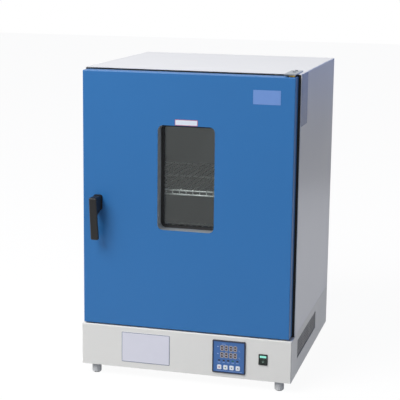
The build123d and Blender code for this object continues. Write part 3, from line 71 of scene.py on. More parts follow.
# The nameplate on the base, the tag and the label on the door, and the plate on the cabinet's side
PLATE_LEFT = -188.3 * MM
PLATE_TOP = 136.6 * MM
PLATE_T = 0.8 * MM
PLATE_BORDER = 1.5 * MM
PLATE_CORNER = 2.2 * MM
PLATE_EDGE = 0.15 * MM
TAG_SIZE = (76.0 * MM, 0.35 * MM, 39.0 * MM)
TAG_CENTRE = (224.2 * MM, 832.0 * MM)
TAG_CORNER = 0.6 * MM
FOIL_EDGE = 0.1 * MM
LABEL_SIZE = (65.3 * MM, 0.3 * MM, 16.6 * MM)
LABEL_ABOVE_GLASS = 9.6 * MM
LABEL_BORDER = 1.4 * MM
LABEL_CORNER = 2.0 * MM
LABEL_EDGE = 0.08 * MM
SIDE_PLATE_SIZE = (92.0 * MM, 0.4 * MM, 144.0 * MM)
SIDE_PLATE_BACK = 55.1 * MM
SIDE_PLATE_TOP = 1.2 * MM
SIDE_PLATE_CORNER = 1.0 * MM

# Places on the controller, counted from its left and top edges
DIGIT_PLACES = (28.1, 40.7, 53.9, 66.5)
DIGIT_ROWS = (22.4, 42.8)
DIGIT_SIZE = (10.4, 16.6)
DIGIT_STROKE = 2.0
BAR_GAP = 0.7
BAR_POINT = 0.84
WELL_SIZE = (9.6, 15.8)
WELL_CORNER = 1.2
LAMP_PLACES = (20.3, 33.6, 46.6, 59.9, 73.4)
LAMP_ROW = 58.7
LAMP_SIZE = (6.4, 4.2)
LAMP_CORNER = 0.7
LAMP_EDGE = 0.08
LIT_LAMP = 3
LEGEND_ROW = 64.7
LEGEND_SIZE = (7.6, 1.5)
SIDE_LEGENDS = ((16.2, 19.0), (16.2, 39.8))
SIDE_LEGEND_SIZE = (4.6, 2.4)
UNIT_PLACES = ((78.6, 28.6), (78.6, 49.4))
UNIT_HEIGHT = 6.4
TOP_LEGEND = (33.0, 10.8)
TOP_LEGEND_SIZE = (11.0, 1.5)
RULE = (48.0, 89.4)
RULE_SIZE = (76.0, 0.7)
PRINT_T = 0.12

# The signs on the keys
KEY_RING_R = 1.9
KEY_RING_STROKE = 0.9
KEY_DOT_R = 0.7
KEY_ARROW_R = 3.0

# The lit bar and the sign on the rocker, counted from its top
LENS_SIZE = (18.4, 1.0, 6.4)
LENS_CORNER = 0.9
LENS_EDGE = 0.25
LENS_DROP = 4.9
SIGN_DROP = 18.4
SIGN_R = 2.1
SIGN_STROKE = 0.6
SIGN_T = 0.3
PROBE_AWAY = 50.0 * MM

# Wire shelves
FRAME_ROD_R = 3.0
CROSS_ROD_R = 2.7
LIP_ROD_R = 2.8
WIRE_R = 1.6
WIRE_PITCH = 20.0
WIRE_TOP = 4.7
LIP_DROP = 11.0
SHELF_CORNER = 14.0
LEDGE_ROOM = 28.0
WIRE_BEND = 7.0

# The camera that matches the photograph, fitted to the oven's straight edges.
# Its place is counted from the middle of the door's face at the base's underside.
CAMERA_PLACE = Vector((0.883, -3.185, 1.175))
CAMERA_PITCH = math.radians(-10.77)
CAMERA_YAW = math.radians(14.82)
CAMERA_ROLL = math.radians(-0.68)
CAMERA_FOCUS_PX = 1209.0
CAMERA_DROP_PX = -14.0
FRAME_PX = 400.0
SENSOR_MM = 36.0

# The studio. The key lamp's direction is where its light goes.
# A card holds its name, size, place, turn in degrees, two tones, the heights where these blend
# and its strength.
KEY_TOWARD = (0.50, 0.74, -0.92)
KEY_AWAY = 6.0
KEY_SIZE = 3.6
KEY_POWER = 372.0
FLOOR_HALF = 14.0
FLOOR_GLOW = 1.02
FLOOR_WHITE = 0.92
SKY_TONES = ("#F4F6FF", "#53628A")
SKY_STRENGTH = 0.62
FLAG_TONES = ("#BEC0C1", "#B8BABB")
FLAG_REACH = (0.0, 2.2)
FLAG_STRENGTH = 1.0
CARD_TONES = ("#98968F", "#6890E6")
CARD_REACH = (0.35, 1.25)
CARD_STRENGTH = 1.6
CARDS = (
    ("front_flag", (5.4, 2.3), (-1.4, -1.7, 1.18), 0.0, FLAG_TONES, FLAG_REACH, FLAG_STRENGTH),
    ("side_card", (3.6, 2.8), (2.3, 2.2, 1.41), -20.0, CARD_TONES, CARD_REACH, CARD_STRENGTH),
)


def linear(code):
    """The linear colour, with full alpha, of an sRGB hex code."""
    parts = [int(code[start:start + 2], 16) / 255 for start in (1, 3, 5)]
    flat = [part / 12.92 if part <= 0.04045 else ((part + 0.055) / 1.055) ** 2.4 for part in parts]
    return (flat[0], flat[1], flat[2], 1.0)


def add_node(tree, kind, sockets=None, **settings):
    """Adds a node with its settings. A socket's entry is a value, or another node's output to link."""
    made = tree.nodes.new(kind)
    for key, value in settings.items():
        setattr(made, key, value)
    for key, value in (sockets or {}).items():
        if isinstance(value, bpy.types.NodeSocket):
            tree.links.new(value, made.inputs[key])
        else:
            made.inputs[key].default_value = value
    return made


def bare_material(name):
    """A node material with nothing in it, and its tree."""
    material = bpy.data.materials.new(name)
    material.use_nodes = True
    material.node_tree.nodes.clear()
    return material, material.node_tree


def new_material(name):
    """A node material with its output, its principled shader and its Object coordinates."""
    material, tree = bare_material(name)
    shader = add_node(tree, "ShaderNodeBsdfPrincipled")
    add_node(tree, "ShaderNodeOutputMaterial", {"Surface": shader.outputs["BSDF"]})
    place = add_node(tree, "ShaderNodeTexCoord").outputs["Object"]
    return material, tree, shader, place


def pattern_scale(size_mm):
    """The noise scale whose blotches are about size_mm across, on coordinates in metres."""
    return 1.0 / (size_mm * MM)


def spread(tree, factor, low, high):
    """Maps a 0 to 1 factor onto a narrow range, for a roughness."""
    mapped = add_node(tree, "ShaderNodeMapRange", {"Value": factor, "To Min": low, "To Max": high})
    return mapped.outputs["Result"]


def two_tones(tree, factor, first, second):
    """A colour that wanders between two close hex tones."""
    mix = add_node(tree, "ShaderNodeMix", {"Factor": factor}, data_type="RGBA")
    mix.inputs[6].default_value = linear(first)
    mix.inputs[7].default_value = linear(second)
    return mix.outputs[2]


def noise(tree, place, size_mm, detail=2.0, roughness=0.5):
    """Noise whose blotches have a real size."""
    made = add_node(
        tree, "ShaderNodeTexNoise",
        {"Vector": place, "Scale": pattern_scale(size_mm), "Detail": detail, "Roughness": roughness},
    )
    return made.outputs["Fac"]


def bump(tree, height, depth_mm):
    """A bump of a real depth."""
    made = add_node(tree, "ShaderNodeBump", {"Height": height, "Distance": depth_mm * MM, "Strength": 1.0})
    return made.outputs["Normal"]


def powder_coat(name, tone, shade, rough, peel_mm=2.2, depth_mm=0.03, coat=0.15):
    """Powder coat baked on sheet steel: an even colour, a soft sheen and a fine orange peel."""
    material, tree, shader, place = new_material(name)
    cloud = noise(tree, place, 260, 3.0)
    peel = noise(tree, place, peel_mm, 1.0)
    tree.links.new(two_tones(tree, cloud, tone, shade), shader.inputs["Base Color"])
    tree.links.new(spread(tree, cloud, rough - 0.03, rough + 0.04), shader.inputs["Roughness"])
    tree.links.new(bump(tree, peel, depth_mm), shader.inputs["Normal"])
    shader.inputs["IOR"].default_value = 1.5
    shader.inputs["Coat Weight"].default_value = coat
    shader.inputs["Coat Roughness"].default_value = 0.18
    return material


def brushed_steel(name, tone, shade, rough, grain=(1.0, 1.0, 60.0), line_mm=30.0, depth_mm=0.012):
    """Stainless sheet finished with a belt: fine straight lines that stretch every reflection."""
    material, tree, shader, place = new_material(name)
    stretch = add_node(tree, "ShaderNodeMapping", {"Vector": place, "Scale": grain})
    lines = noise(tree, stretch.outputs["Vector"], line_mm, 4.0, 0.6)
    cloud = noise(tree, place, 140, 2.0)
    tree.links.new(two_tones(tree, lines, tone, shade), shader.inputs["Base Color"])
    tree.links.new(spread(tree, cloud, rough - 0.05, rough + 0.06), shader.inputs["Roughness"])
    tree.links.new(bump(tree, lines, depth_mm), shader.inputs["Normal"])
    shader.inputs["Metallic"].default_value = 1.0
    return material


def drawn_metal(name, tone, shade, rough, spot_mm=6.0, depth_mm=0.01, metallic=1.0):
    """Bright drawn or turned metal: smooth, with faint cloudy handling marks."""
    material, tree, shader, place = new_material(name)
    marks = noise(tree, place, spot_mm, 3.0)
    tree.links.new(two_tones(tree, marks, tone, shade), shader.inputs["Base Color"])
    tree.links.new(spread(tree, marks, rough - 0.05, rough + 0.08), shader.inputs["Roughness"])
    tree.links.new(bump(tree, marks, depth_mm), shader.inputs["Normal"])
    shader.inputs["Metallic"].default_value = metallic
    return material


def moulded_plastic(name, tone, shade, rough, grain_mm=0.9, depth_mm=0.02):
    """Injection-moulded plastic with a spark-eroded grain: fine pits that dull its highlight."""
    material, tree, shader, place = new_material(name)
    pits = noise(tree, place, grain_mm, 2.0)
    cloud = noise(tree, place, 35, 2.0)
    tree.links.new(two_tones(tree, cloud, tone, shade), shader.inputs["Base Color"])
    tree.links.new(spread(tree, pits, rough - 0.06, rough + 0.06), shader.inputs["Roughness"])
    tree.links.new(bump(tree, pits, depth_mm), shader.inputs["Normal"])
    shader.inputs["IOR"].default_value = 1.5
    return material


def silicone_rubber(name, tone, shade):
    """Extruded silicone rubber: matt and dusty, with faint lines from the die."""
    material, tree, shader, place = new_material(name)
    dust = noise(tree, place, 9, 4.0, 0.7)
    tree.links.new(two_tones(tree, dust, tone, shade), shader.inputs["Base Color"])
    tree.links.new(spread(tree, dust, 0.62, 0.78), shader.inputs["Roughness"])
    tree.links.new(bump(tree, dust, 0.03), shader.inputs["Normal"])
    shader.inputs["IOR"].default_value = 1.43
    return material


def toughened_glass(name):
    """Toughened float glass: clear, with a sharp reflection and a trace of haze."""
    material, tree, shader, place = new_material(name)
    haze = noise(tree, place, 60, 3.0)
    tree.links.new(spread(tree, haze, 0.0, 0.02), shader.inputs["Roughness"])
    shader.inputs["Base Color"].default_value = linear("#F8FBFA")
    shader.inputs["Transmission Weight"].default_value = 1.0
    shader.inputs["IOR"].default_value = 1.5
    return material


def mineral_wool(name):
    """Mineral wool board: yellow-brown fibres in soft layers."""
    material, tree, shader, place = new_material(name)
    fibre = noise(tree, place, 3, 6.0, 0.8)
    tree.links.new(two_tones(tree, fibre, "#C9B27A", "#9C8450"), shader.inputs["Base Color"])
    tree.links.new(bump(tree, fibre, 1.2), shader.inputs["Normal"])
    shader.inputs["Roughness"].default_value = 0.95
    return material


def printed_foil(name, colour, shade, rough=0.35):
    """Polyester foil printed on its back: flat colour, thinner in places, under a smooth satin film."""
    material, tree, shader, place = new_material(name)
    film = noise(tree, place, 18, 2.0)
    mix = add_node(tree, "ShaderNodeMix", {"Factor": film}, data_type="RGBA")
    mix.inputs[6].default_value = tuple(colour)
    mix.inputs[7].default_value = tuple(part * shade for part in colour[:3]) + (1.0,)
    tree.links.new(mix.outputs[2], shader.inputs["Base Color"])
    tree.links.new(spread(tree, film, rough - 0.04, rough + 0.05), shader.inputs["Roughness"])
    tree.links.new(bump(tree, film, 0.01), shader.inputs["Normal"])
    shader.inputs["IOR"].default_value = 1.55
    shader.inputs["Coat Weight"].default_value = 0.2
    return material


def lit_plastic(name, tone, shade, glow, strength):
    """Tinted translucent plastic with a lamp behind it: saturated, with an even glow."""
    material, tree, shader, place = new_material(name)
    cloud = noise(tree, place, 5, 2.0)
    tree.links.new(two_tones(tree, cloud, tone, shade), shader.inputs["Base Color"])
    tree.links.new(spread(tree, cloud, 0.18, 0.28), shader.inputs["Roughness"])
    shader.inputs["Emission Color"].default_value = linear(glow)
    shader.inputs["Emission Strength"].default_value = strength
    return material


def finish_by_slot():
    """The material of every slot in the record, made once."""
    return {
        "feet": moulded_plastic("foot_nylon", "#C9CBCC", "#BFC1C3", 0.5),
        "base_paint": powder_coat("base_powder_coat", "#E4E4E0", "#DFDFDB", 0.44),
        "pan_steel": drawn_metal("zinc_plated_pan", "#A9ACB0", "#8E9196", 0.42, 30.0),
        "grille_paint": powder_coat("grille_powder_coat", "#8E8E8F", "#858586", 0.5),
        "shell_paint": powder_coat("shell_powder_coat", "#E0E1E3", "#DBDCDF", 0.36, 2.2, 0.02, 0.1),
        "frame_paint": powder_coat("frame_powder_coat", "#D0D2D4", "#C8CACC", 0.4),
        "screw_steel": drawn_metal("zinc_plated_screws", "#B9BBBE", "#A2A5A9", 0.32),
        "hinge_steel": brushed_steel("hinge_ground_steel", "#9DA6AF", "#868E97", 0.34, (60.0, 1.0, 1.0)),
        "bush_brass": drawn_metal("turned_brass", "#B99A57", "#A0823F", 0.28),
        "seal_black": silicone_rubber("black_seal_rubber", "#1B1B1C", "#141415"),
        "gasket_silicone": silicone_rubber("gasket_silicone", "#2A2A2B", "#1F1F20"),
        "keeper_steel": drawn_metal("hardened_latch_steel", "#8F9296", "#7C7F83", 0.3),
        "chamber_steel": brushed_steel("chamber_stainless", "#9C9E9E", "#8B8D8D", 0.36),
        # Wire tone of pure white is a painted highlight: it stands in for the flash glinting on the rods,
        # not the steel's own colour.
        "wire_steel": drawn_metal("wire_painted_highlight_white", "#FFFFFF", "#F2F3F4", 0.34, 6.0, 0.01, 0.55),
        "rack_steel": brushed_steel("rack_stainless", "#8F9191", "#7D7F7F", 0.34, (1.0, 60.0, 1.0)),
        "probe_steel": drawn_metal("drawn_probe_tube", "#B5B7B9", "#A0A2A5", 0.2),
        # Window frame tone is partly the stainless steel's own colour and partly painted light: lightened
        # and tinted blue-white to stand in for the lit, sky-reflecting bottom reveal.
        "window_steel": brushed_steel("window_stainless_painted_reflection", "#DDE3EA", "#CDD4DC", 0.5, (1.0, 40.0, 1.0)),
        "insulation": mineral_wool("mineral_wool"),
        "fan_steel": brushed_steel("fan_stainless", "#A5A7A8", "#919394", 0.32, (40.0, 1.0, 1.0)),
        "motor_metal": powder_coat("motor_stoving_enamel", "#26282C", "#1D1F22", 0.4),
        "heater_sheath": drawn_metal("heater_sheath_steel", "#6A645E", "#4C4743", 0.45, 12.0),
        "exhaust_steel": brushed_steel("exhaust_stainless", "#B4B6B8", "#9FA1A4", 0.28, (1.0, 1.0, 40.0)),
        "knob_black": moulded_plastic("damper_phenolic", "#1C1C1E", "#151517", 0.42),
        "door_paint": powder_coat("door_powder_coat", "#2670B1", "#246CAB", 0.4, 2.2, 0.02, 0.0),
        "window_glass": toughened_glass("toughened_glass"),
        "handle_black": moulded_plastic("handle_nylon", "#0C0C0D", "#080809", 0.52),
        "controller_black": moulded_plastic("controller_abs", "#14213F", "#101B34", 0.38),
        "face_blue": printed_foil("controller_foil", linear("#2E64A6"), 0.92),
        "key_white": moulded_plastic("key_silicone", "#EDF1F5", "#E3E8EE", 0.5),
        "switch_black": moulded_plastic("switch_nylon", "#0B0B0C", "#070708", 0.5),
        "rocker_green": lit_plastic("rocker_polycarbonate", "#081F17", "#061811", "#0D2F23", 0.03),
        "relay_metal": drawn_metal("relay_extrusion", "#A8AAAC", "#96989A", 0.38),
        "terminal_plastic": moulded_plastic("terminal_phenolic", "#1E1E20", "#171719", 0.45),
        "gland_black": moulded_plastic("gland_polyamide", "#161617", "#101011", 0.48),
    }


def link(name, mesh, materials):
    """An object at the origin for a finished mesh."""
    for material in materials:
        mesh.materials.append(material)
    made = bpy.data.objects.new(name, mesh)
    bpy.context.scene.collection.objects.link(made)
    return made


def to_mesh(shape, name):
    """Turns a bmesh into mesh data and frees it."""
    bmesh.ops.recalc_face_normals(shape, faces=shape.faces)
    mesh = bpy.data.meshes.new(name)
    shape.to_mesh(mesh)
    shape.free()
    return mesh


def front_faces(shape):
    """The faces that look towards -Y."""
    return [face for face in shape.faces if face.normal.y < -0.99]


def slab(size, corner, edge, segments=6):
    """A thin upright plate round the origin, facing -Y, with round corners and a broken front edge."""
    shape = bmesh.new()
    bmesh.ops.create_cube(shape, size=1.0)
    bmesh.ops.scale(shape, vec=size, verts=shape.verts)
    if corner > 0:
        uprights = [e for e in shape.edges if abs(e.verts[0].co.y - e.verts[1].co.y) > size[1] / 2]
        bmesh.ops.bevel(
            shape, geom=uprights, offset=corner, offset_type="OFFSET", segments=segments, profile=0.5,
            affect="EDGES", material=-1, clamp_overlap=True,
        )
    if edge > 0:
        shape.normal_update()
        front = front_faces(shape)
        rim = [e for face in front for e in face.edges]
        bmesh.ops.bevel(
            shape, geom=rim, offset=edge, offset_type="OFFSET", segments=2, profile=0.5,
            affect="EDGES", material=-1, clamp_overlap=True,
        )
    return shape


def framed_plate(size, corner, border, edge):
    """A plate whose front has a printed border in a second colour and a bare field."""
    shape = slab(size, corner, edge)
    shape.normal_update()
    field = front_faces(shape)
    rim = bmesh.ops.inset_region(shape, faces=field, thickness=border, depth=0.0, use_even_offset=True)
    for face in rim["faces"]:
        face.material_index = 1
    return shape


def place(shape, where, turn=0.0, lean=0.0):
    """Leans a shape about X, turns it about Z and moves it to its place."""
    matrix = Matrix.Translation(where) @ Matrix.Rotation(turn, 4, "Z") @ Matrix.Rotation(lean, 4, "X")
    bmesh.ops.transform(shape, matrix=matrix, verts=shape.verts)
    return shape


def merge(target, part, tone=None):
    """Adds a shape to a larger one, and gives all its faces one of the piece's materials."""
    if tone is not None:
        for face in part.faces:
            face.material_index = tone
    held = bpy.data.meshes.new("held")
    part.to_mesh(held)
    part.free()
    target.from_mesh(held)
    bpy.data.meshes.remove(held)


def touch(node, start, along):
    """The point and the outward normal where a line first meets a CAD node."""
    hit, spot, normal, _ = frame["nodes"][node].ray_cast(Vector(start), Vector(along))
    if not hit:
        raise RuntimeError("no surface of " + node + " on that line")
    return spot, normal


def prism(sides, radius, depth, turn=0.0):
    """A flat regular outline facing -Y, with a thickness: three sides make an arrow head."""
    shape = bmesh.new()
    bmesh.ops.create_cone(
        shape, cap_ends=True, segments=sides, radius1=radius, radius2=radius, depth=depth,
        matrix=Matrix.Rotation(turn, 4, "Y") @ Matrix.Rotation(math.pi / 2, 4, "X"),
    )
    return shape


def ring(radius, stroke, depth):
    """A flat ring facing -Y, spun from its square section."""
    shape = bmesh.new()
    half = stroke / 2
    section = ((-1, -1), (1, -1), (1, 1), (-1, 1))
    corners = [shape.verts.new((radius + out * half, up * depth / 2, 0.0)) for out, up in section]
    sides = [shape.edges.new((corners[index], corners[index - 1])) for index in range(4)]
    bmesh.ops.spin(
        shape, geom=corners + sides, cent=(0, 0, 0), axis=(0, 1, 0), angle=2 * math.pi, steps=RING_STEPS,
        use_merge=True, use_duplicate=False,
    )
    return shape


def lettering(words, height, depth):
    """Generic signs as thin raised print that faces -Y, centred on the origin."""
    data = bpy.data.curves.new("sign", "FONT")
    data.body = words
    data.size = height
    data.extrude = depth / 2
    data.align_x = "CENTER"
    data.align_y = "CENTER"
    holder = bpy.data.objects.new("sign", data)
    bpy.context.scene.collection.objects.link(holder)
    held = bpy.data.meshes.new_from_object(holder)
    shape = bmesh.new()
    shape.from_mesh(held)
    bmesh.ops.remove_doubles(shape, verts=shape.verts, dist=1e-7)
    bmesh.ops.rotate(shape, cent=(0, 0, 0), matrix=Matrix.Rotation(math.pi / 2, 3, "X"), verts=shape.verts)
    bpy.data.objects.remove(holder)
    bpy.data.curves.remove(data)
    bpy.data.meshes.remove(held)
    return shape


def fit(name, shape, materials, body):
    """Links a finished piece, and hangs it on the body that carries it."""
    made = link(name, to_mesh(shape, name), materials)
    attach(made, body)
    return made


def wire_curve(name, routes, radius):
    """Round wires of one gauge as one piece. A route is its points and whether it is closed."""
    data = bpy.data.curves.new(name, "CURVE")
    data.dimensions = "3D"
    data.bevel_depth = radius
    data.bevel_resolution = 2
    data.use_fill_caps = True
    for points, closed in routes:
        spline = data.splines.new("NURBS")
        spline.points.add(len(points) - 1)
        for target, point in zip(spline.points, points):
            target.co = (*point, 1.0)
        spline.order_u = 3
        spline.resolution_u = 4
        spline.use_cyclic_u = closed
        spline.use_endpoint_u = not closed
    return data


def bent(points, bend):
    """A route whose inner corners are rounded over the length of a bend."""
    route = [points[0]]
    for before, corner, after in zip(points, points[1:], points[2:]):
        route.append(corner + (before - corner).normalized() * bend)
        route.append(corner)
        route.append(corner + (after - corner).normalized() * bend)
    route.append(points[-1])
    return route


def loop(corners, bend):
    """A closed route with round corners."""
    route = []
    for index, corner in enumerate(corners):
        before = corners[index - 1]
        after = corners[(index + 1) % len(corners)]
        route.append(corner + (before - corner).normalized() * bend)
        route.append(corner)
        route.append(corner + (after - corner).normalized() * bend)
    return route


def wire_shelf(name, node, body, material):
    """A welded wire shelf: a rod frame, a cross rod, and wires bent down to the front rod."""
    low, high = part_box(node)
    half = high.x - FRAME_ROD_R * MM
    frame_z = high.z - WIRE_TOP * MM
    lip_y = low.y + LIP_ROD_R * MM
    front = lip_y + (WIRE_R + FRAME_ROD_R) * MM
    back = high.y - FRAME_ROD_R * MM
    corners = [
        Vector((side * half, y, frame_z)) for side, y in ((-1, front), (1, front), (1, back), (-1, back))
    ]
    cross_y = (front + back) / 2
    under = frame_z + (FRAME_ROD_R - CROSS_ROD_R) * MM
    cross = [Vector((-half, cross_y, under)), Vector((half, cross_y, under))]
    lip_z = frame_z - LIP_DROP * MM
    lip_half = high.x - (SHELF_CORNER + LEDGE_ROOM / 2) * MM
    lip = [Vector((-lip_half, lip_y, lip_z)), Vector((lip_half, lip_y, lip_z))]
    top = high.z - WIRE_R * MM
    count = int((lip_half - LIP_ROD_R * MM) / (WIRE_PITCH * MM))
    wires = []
    for index in range(-count, count + 1):
        x = index * WIRE_PITCH * MM
        run = [Vector((x, back, top)), Vector((x, lip_y, top)), Vector((x, lip_y, lip_z))]
        wires.append((bent(run, WIRE_BEND * MM), False))
    pieces = []
    for part, routes, radius in (
        ("frame", [(loop(corners, SHELF_CORNER * MM), True)], FRAME_ROD_R),
        ("cross_rod", [(cross, False)], CROSS_ROD_R),
        ("front_rod", [(lip, False)], LIP_ROD_R),
        ("wires", wires, WIRE_R),
    ):
        data = wire_curve(name + "_" + part, routes, radius * MM)
        piece = link(name + "_" + part, data, [material])
        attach(piece, body)
        pieces.append(piece)
    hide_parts(node)
    return pieces


class OvenColours(bpy.types.PropertyGroup):
    """Colours that a user would change."""

    nameplate: FloatVectorProperty(
        name="Nameplate", description="Field of the base's nameplate", subtype="COLOR", size=4,
        default=linear("#DCDDE8"),
    )
    tag: FloatVectorProperty(
        name="Door tag", description="The pale tag at the top of the door", subtype="COLOR", size=4,
        default=linear("#6C93D3"),
    )
    side_plate: FloatVectorProperty(
        name="Side plate", description="The blue plate on the cabinet's side", subtype="COLOR", size=4,
        default=linear("#3E5F98"),
    )


class OvenSizes(bpy.types.PropertyGroup):
    """Sizes that a user would change."""

    plate_width: FloatProperty(
        name="Nameplate width", description="Width of the base's nameplate", default=144.3 * MM,
        unit="LENGTH",
    )
    plate_height: FloatProperty(
        name="Nameplate height", description="Height of the base's nameplate", default=89.2 * MM,
        unit="LENGTH",
    )


class OVEN_OT_plates(bpy.types.Operator):
    """Puts the bare nameplate, tag, label and side plate in place"""

    bl_idname = "oven.plates"
    bl_label = "Plates and labels"

    def execute(self, context):
        colours = context.scene.oven_colours
        sizes = context.scene.oven_sizes
        size = (sizes.plate_width, PLATE_T, sizes.plate_height)
        shape = framed_plate(size, PLATE_CORNER, PLATE_BORDER, PLATE_EDGE)
        spot = (PLATE_LEFT + size[0] / 2, BASE_LOW.y - PLATE_T / 2, PLATE_TOP - size[2] / 2)
        field = printed_foil("nameplate_foil", colours.nameplate, 0.97, 0.3)
        rim = printed_foil("nameplate_border_ink", linear("#5F6C86"), 0.95, 0.3)
        fit("nameplate", place(shape, spot), [field, rim], "cabinet")
        shape = slab(TAG_SIZE, TAG_CORNER, FOIL_EDGE)
        spot = (TAG_CENTRE[0], DOOR_LOW.y - TAG_SIZE[1] / 2, TAG_CENTRE[1])
        pale = printed_foil("tag_foil", colours.tag, 0.96)
        fit("door_tag", place(shape, spot), [pale], "door")
        shape = framed_plate(LABEL_SIZE, LABEL_CORNER, LABEL_BORDER, LABEL_EDGE)
        spot = (
            (WINDOW_LOW.x + WINDOW_HIGH.x) / 2, DOOR_LOW.y - LABEL_SIZE[1] / 2,
            WINDOW_HIGH.z + LABEL_ABOVE_GLASS,
        )
        inks = [
            printed_foil("label_paper_foil", linear("#DDE6F2"), 0.97, 0.4),
            printed_foil("label_border_ink", linear("#B5384E"), 0.95, 0.4),
        ]
        fit("window_label", place(shape, spot), inks, "door")
        shape = slab(SIDE_PLATE_SIZE, SIDE_PLATE_CORNER, FOIL_EDGE)
        spot = (
            SHELL_HIGH.x + SIDE_PLATE_SIZE[1] / 2, SHELL_LOW.y + SIDE_PLATE_BACK,
            SHELL_HIGH.z - SIDE_PLATE_TOP - SIDE_PLATE_SIZE[2] / 2,
        )
        blue = printed_foil("side_plate_foil", colours.side_plate, 0.93)
        fit("side_plate", place(shape, spot, math.pi / 2), [blue], "cabinet")
        return {"FINISHED"}


def on_controller(across, down, proud):
    """A point on the controller's face, counted from its left and top edges in millimetres."""
    return Vector((CASE_LOW.x + across * MM, FACE_LOW.y - proud * MM, CASE_HIGH.z - down * MM))


def seven_bars(shape, across, down):
    """One unlit figure eight of seven tinted bars."""
    wide, tall = DIGIT_SIZE
    reach = wide / 2 - DIGIT_STROKE / 2
    rise = tall / 2 - DIGIT_STROKE / 2
    bars = [(0.0, level, False) for level in (-rise, 0.0, rise)]
    bars += [(side, level, True) for side in (-reach, reach) for level in (-rise / 2, rise / 2)]
    for aside, above, upright in bars:
        long = (rise if upright else 2 * reach) - BAR_GAP
        size = (DIGIT_STROKE, PRINT_T, long) if upright else (long, PRINT_T, DIGIT_STROKE)
        bar = slab([length * MM for length in size], BAR_POINT * MM, 0, 1)
        merge(shape, place(bar, on_controller(across + aside, down - above, 1.5 * PRINT_T)))


class OVEN_OT_display(bpy.types.Operator):
    """Fits the controller's two rows of figures, its lamps and its bare legends"""

    bl_idname = "oven.display"
    bl_label = "Controller display"

    def execute(self, context):
        wells = bmesh.new()
        figures = bmesh.new()
        for down in DIGIT_ROWS:
            for across in DIGIT_PLACES:
                well = slab((WELL_SIZE[0] * MM, PRINT_T * MM, WELL_SIZE[1] * MM), WELL_CORNER * MM, 0)
                merge(wells, place(well, on_controller(across, down, PRINT_T / 2)))
                seven_bars(figures, across, down)
        smoked = moulded_plastic("smoked_display_acrylic", "#4A3F4C", "#413846", 0.22, 3.0, 0.002)
        tinted = moulded_plastic("unlit_display_bars", "#B4AEA8", "#A6A09B", 0.3, 3.0, 0.002)
        fit("display_wells", wells, [smoked], "cabinet")
        fit("display_figures", figures, [tinted], "cabinet")
        lamps = bmesh.new()
        for index, across in enumerate(LAMP_PLACES):
            size = (LAMP_SIZE[0] * MM, 2 * PRINT_T * MM, LAMP_SIZE[1] * MM)
            lamp = slab(size, LAMP_CORNER * MM, LAMP_EDGE * MM)
            place(lamp, on_controller(across, LAMP_ROW, PRINT_T))
            merge(lamps, lamp, 1 if index == LIT_LAMP else 0)
        dark = moulded_plastic("lamp_window_acrylic", "#1B2233", "#161C2B", 0.2, 3.0, 0.002)
        green = lit_plastic("lit_lamp_acrylic", "#155A56", "#124E4C", "#1F8F86", 0.12)
        fit("lamp_windows", lamps, [dark, green], "cabinet")
        legends = bmesh.new()
        pale = [(across, LEGEND_ROW, *LEGEND_SIZE) for across in LAMP_PLACES]
        pale += [(across, down, *SIDE_LEGEND_SIZE) for across, down in SIDE_LEGENDS]
        pale += [(*TOP_LEGEND, *TOP_LEGEND_SIZE), (*RULE, *RULE_SIZE)]
        for across, down, wide, tall in pale:
            bar = slab((wide * MM, PRINT_T * MM, tall * MM), min(wide, tall) * 0.3 * MM, 0)
            merge(legends, place(bar, on_controller(across, down, PRINT_T / 2)))
        for across, down in UNIT_PLACES:
            sign = lettering("\u00b0C", UNIT_HEIGHT * MM, PRINT_T * MM)
            merge(legends, place(sign, on_controller(across, down, PRINT_T / 2)))
        ink = printed_foil("legend_ink", linear("#9CB4E0"), 0.95, 0.4)
        fit("controller_legends", legends, [ink], "cabinet")
        return {"FINISHED"}


class OVEN_OT_keys(bpy.types.Operator):
    """Prints a plain sign on each of the controller's four keys"""

    bl_idname = "oven.keys"
    bl_label = "Key signs"

    def execute(self, context):
        signs = (
            ("key_1", "key_a", "#B0526A", "set"),
            ("key_2", "key_b", "#4F7D6C", "shift"),
            ("key_3", "key_c", "#566B70", "down"),
            ("key_4", "key_d", "#4A5A60", "up"),
        )
        turns = {"shift": -math.pi / 2, "down": math.pi, "up": 0.0}
        for node, body, tone, sign in signs:
            low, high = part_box(node)
            if sign == "set":
                shape = ring(KEY_RING_R * MM, KEY_RING_STROKE * MM, PRINT_T * MM)
                merge(shape, prism(12, KEY_DOT_R * MM, PRINT_T * MM))
            else:
                shape = prism(3, KEY_ARROW_R * MM, PRINT_T * MM, turns[sign])
            spot = ((low.x + high.x) / 2, low.y - PRINT_T * MM / 2, (low.z + high.z) / 2)
            ink = printed_foil("key_ink_" + sign, linear(tone), 0.92, 0.5)
            fit("key_sign_" + sign, place(shape, spot), [ink], body)
        return {"FINISHED"}


def on_rocker(drop):
    """The point and normal on the rocker's front at a depth in millimetres below its top."""
    middle = (ROCKER_LOW.x + ROCKER_HIGH.x) / 2
    start = (middle, BASE_LOW.y - PROBE_AWAY, ROCKER_HIGH.z - drop * MM)
    return touch("switch_rocker", start, (0, 1, 0))


class OVEN_OT_switch(bpy.types.Operator):
    """Fits the lit bar and the plain signs to the power rocker"""

    bl_idname = "oven.switch"
    bl_label = "Power switch"

    def execute(self, context):
        spot, normal = on_rocker(LENS_DROP)
        lens = slab([length * MM for length in LENS_SIZE], LENS_CORNER * MM, LENS_EDGE * MM)
        lean = math.atan2(normal.z, -normal.y)
        glow = lit_plastic("lit_lens_polycarbonate", "#8FE3CF", "#7CD8C2", "#A8F4E2", 0.35)
        fit("rocker_lens", place(lens, spot, 0.0, -lean), [glow], "power_rocker")
        spot, normal = on_rocker(SIGN_DROP)
        sign = ring(SIGN_R * MM, SIGN_STROKE * MM, SIGN_T * MM)
        lean = math.atan2(normal.z, -normal.y)
        ink = printed_foil("rocker_ink", linear("#8FB0A4"), 0.95, 0.4)
        fit("rocker_sign", place(sign, spot, 0.0, -lean), [ink], "power_rocker")
        return {"FINISHED"}


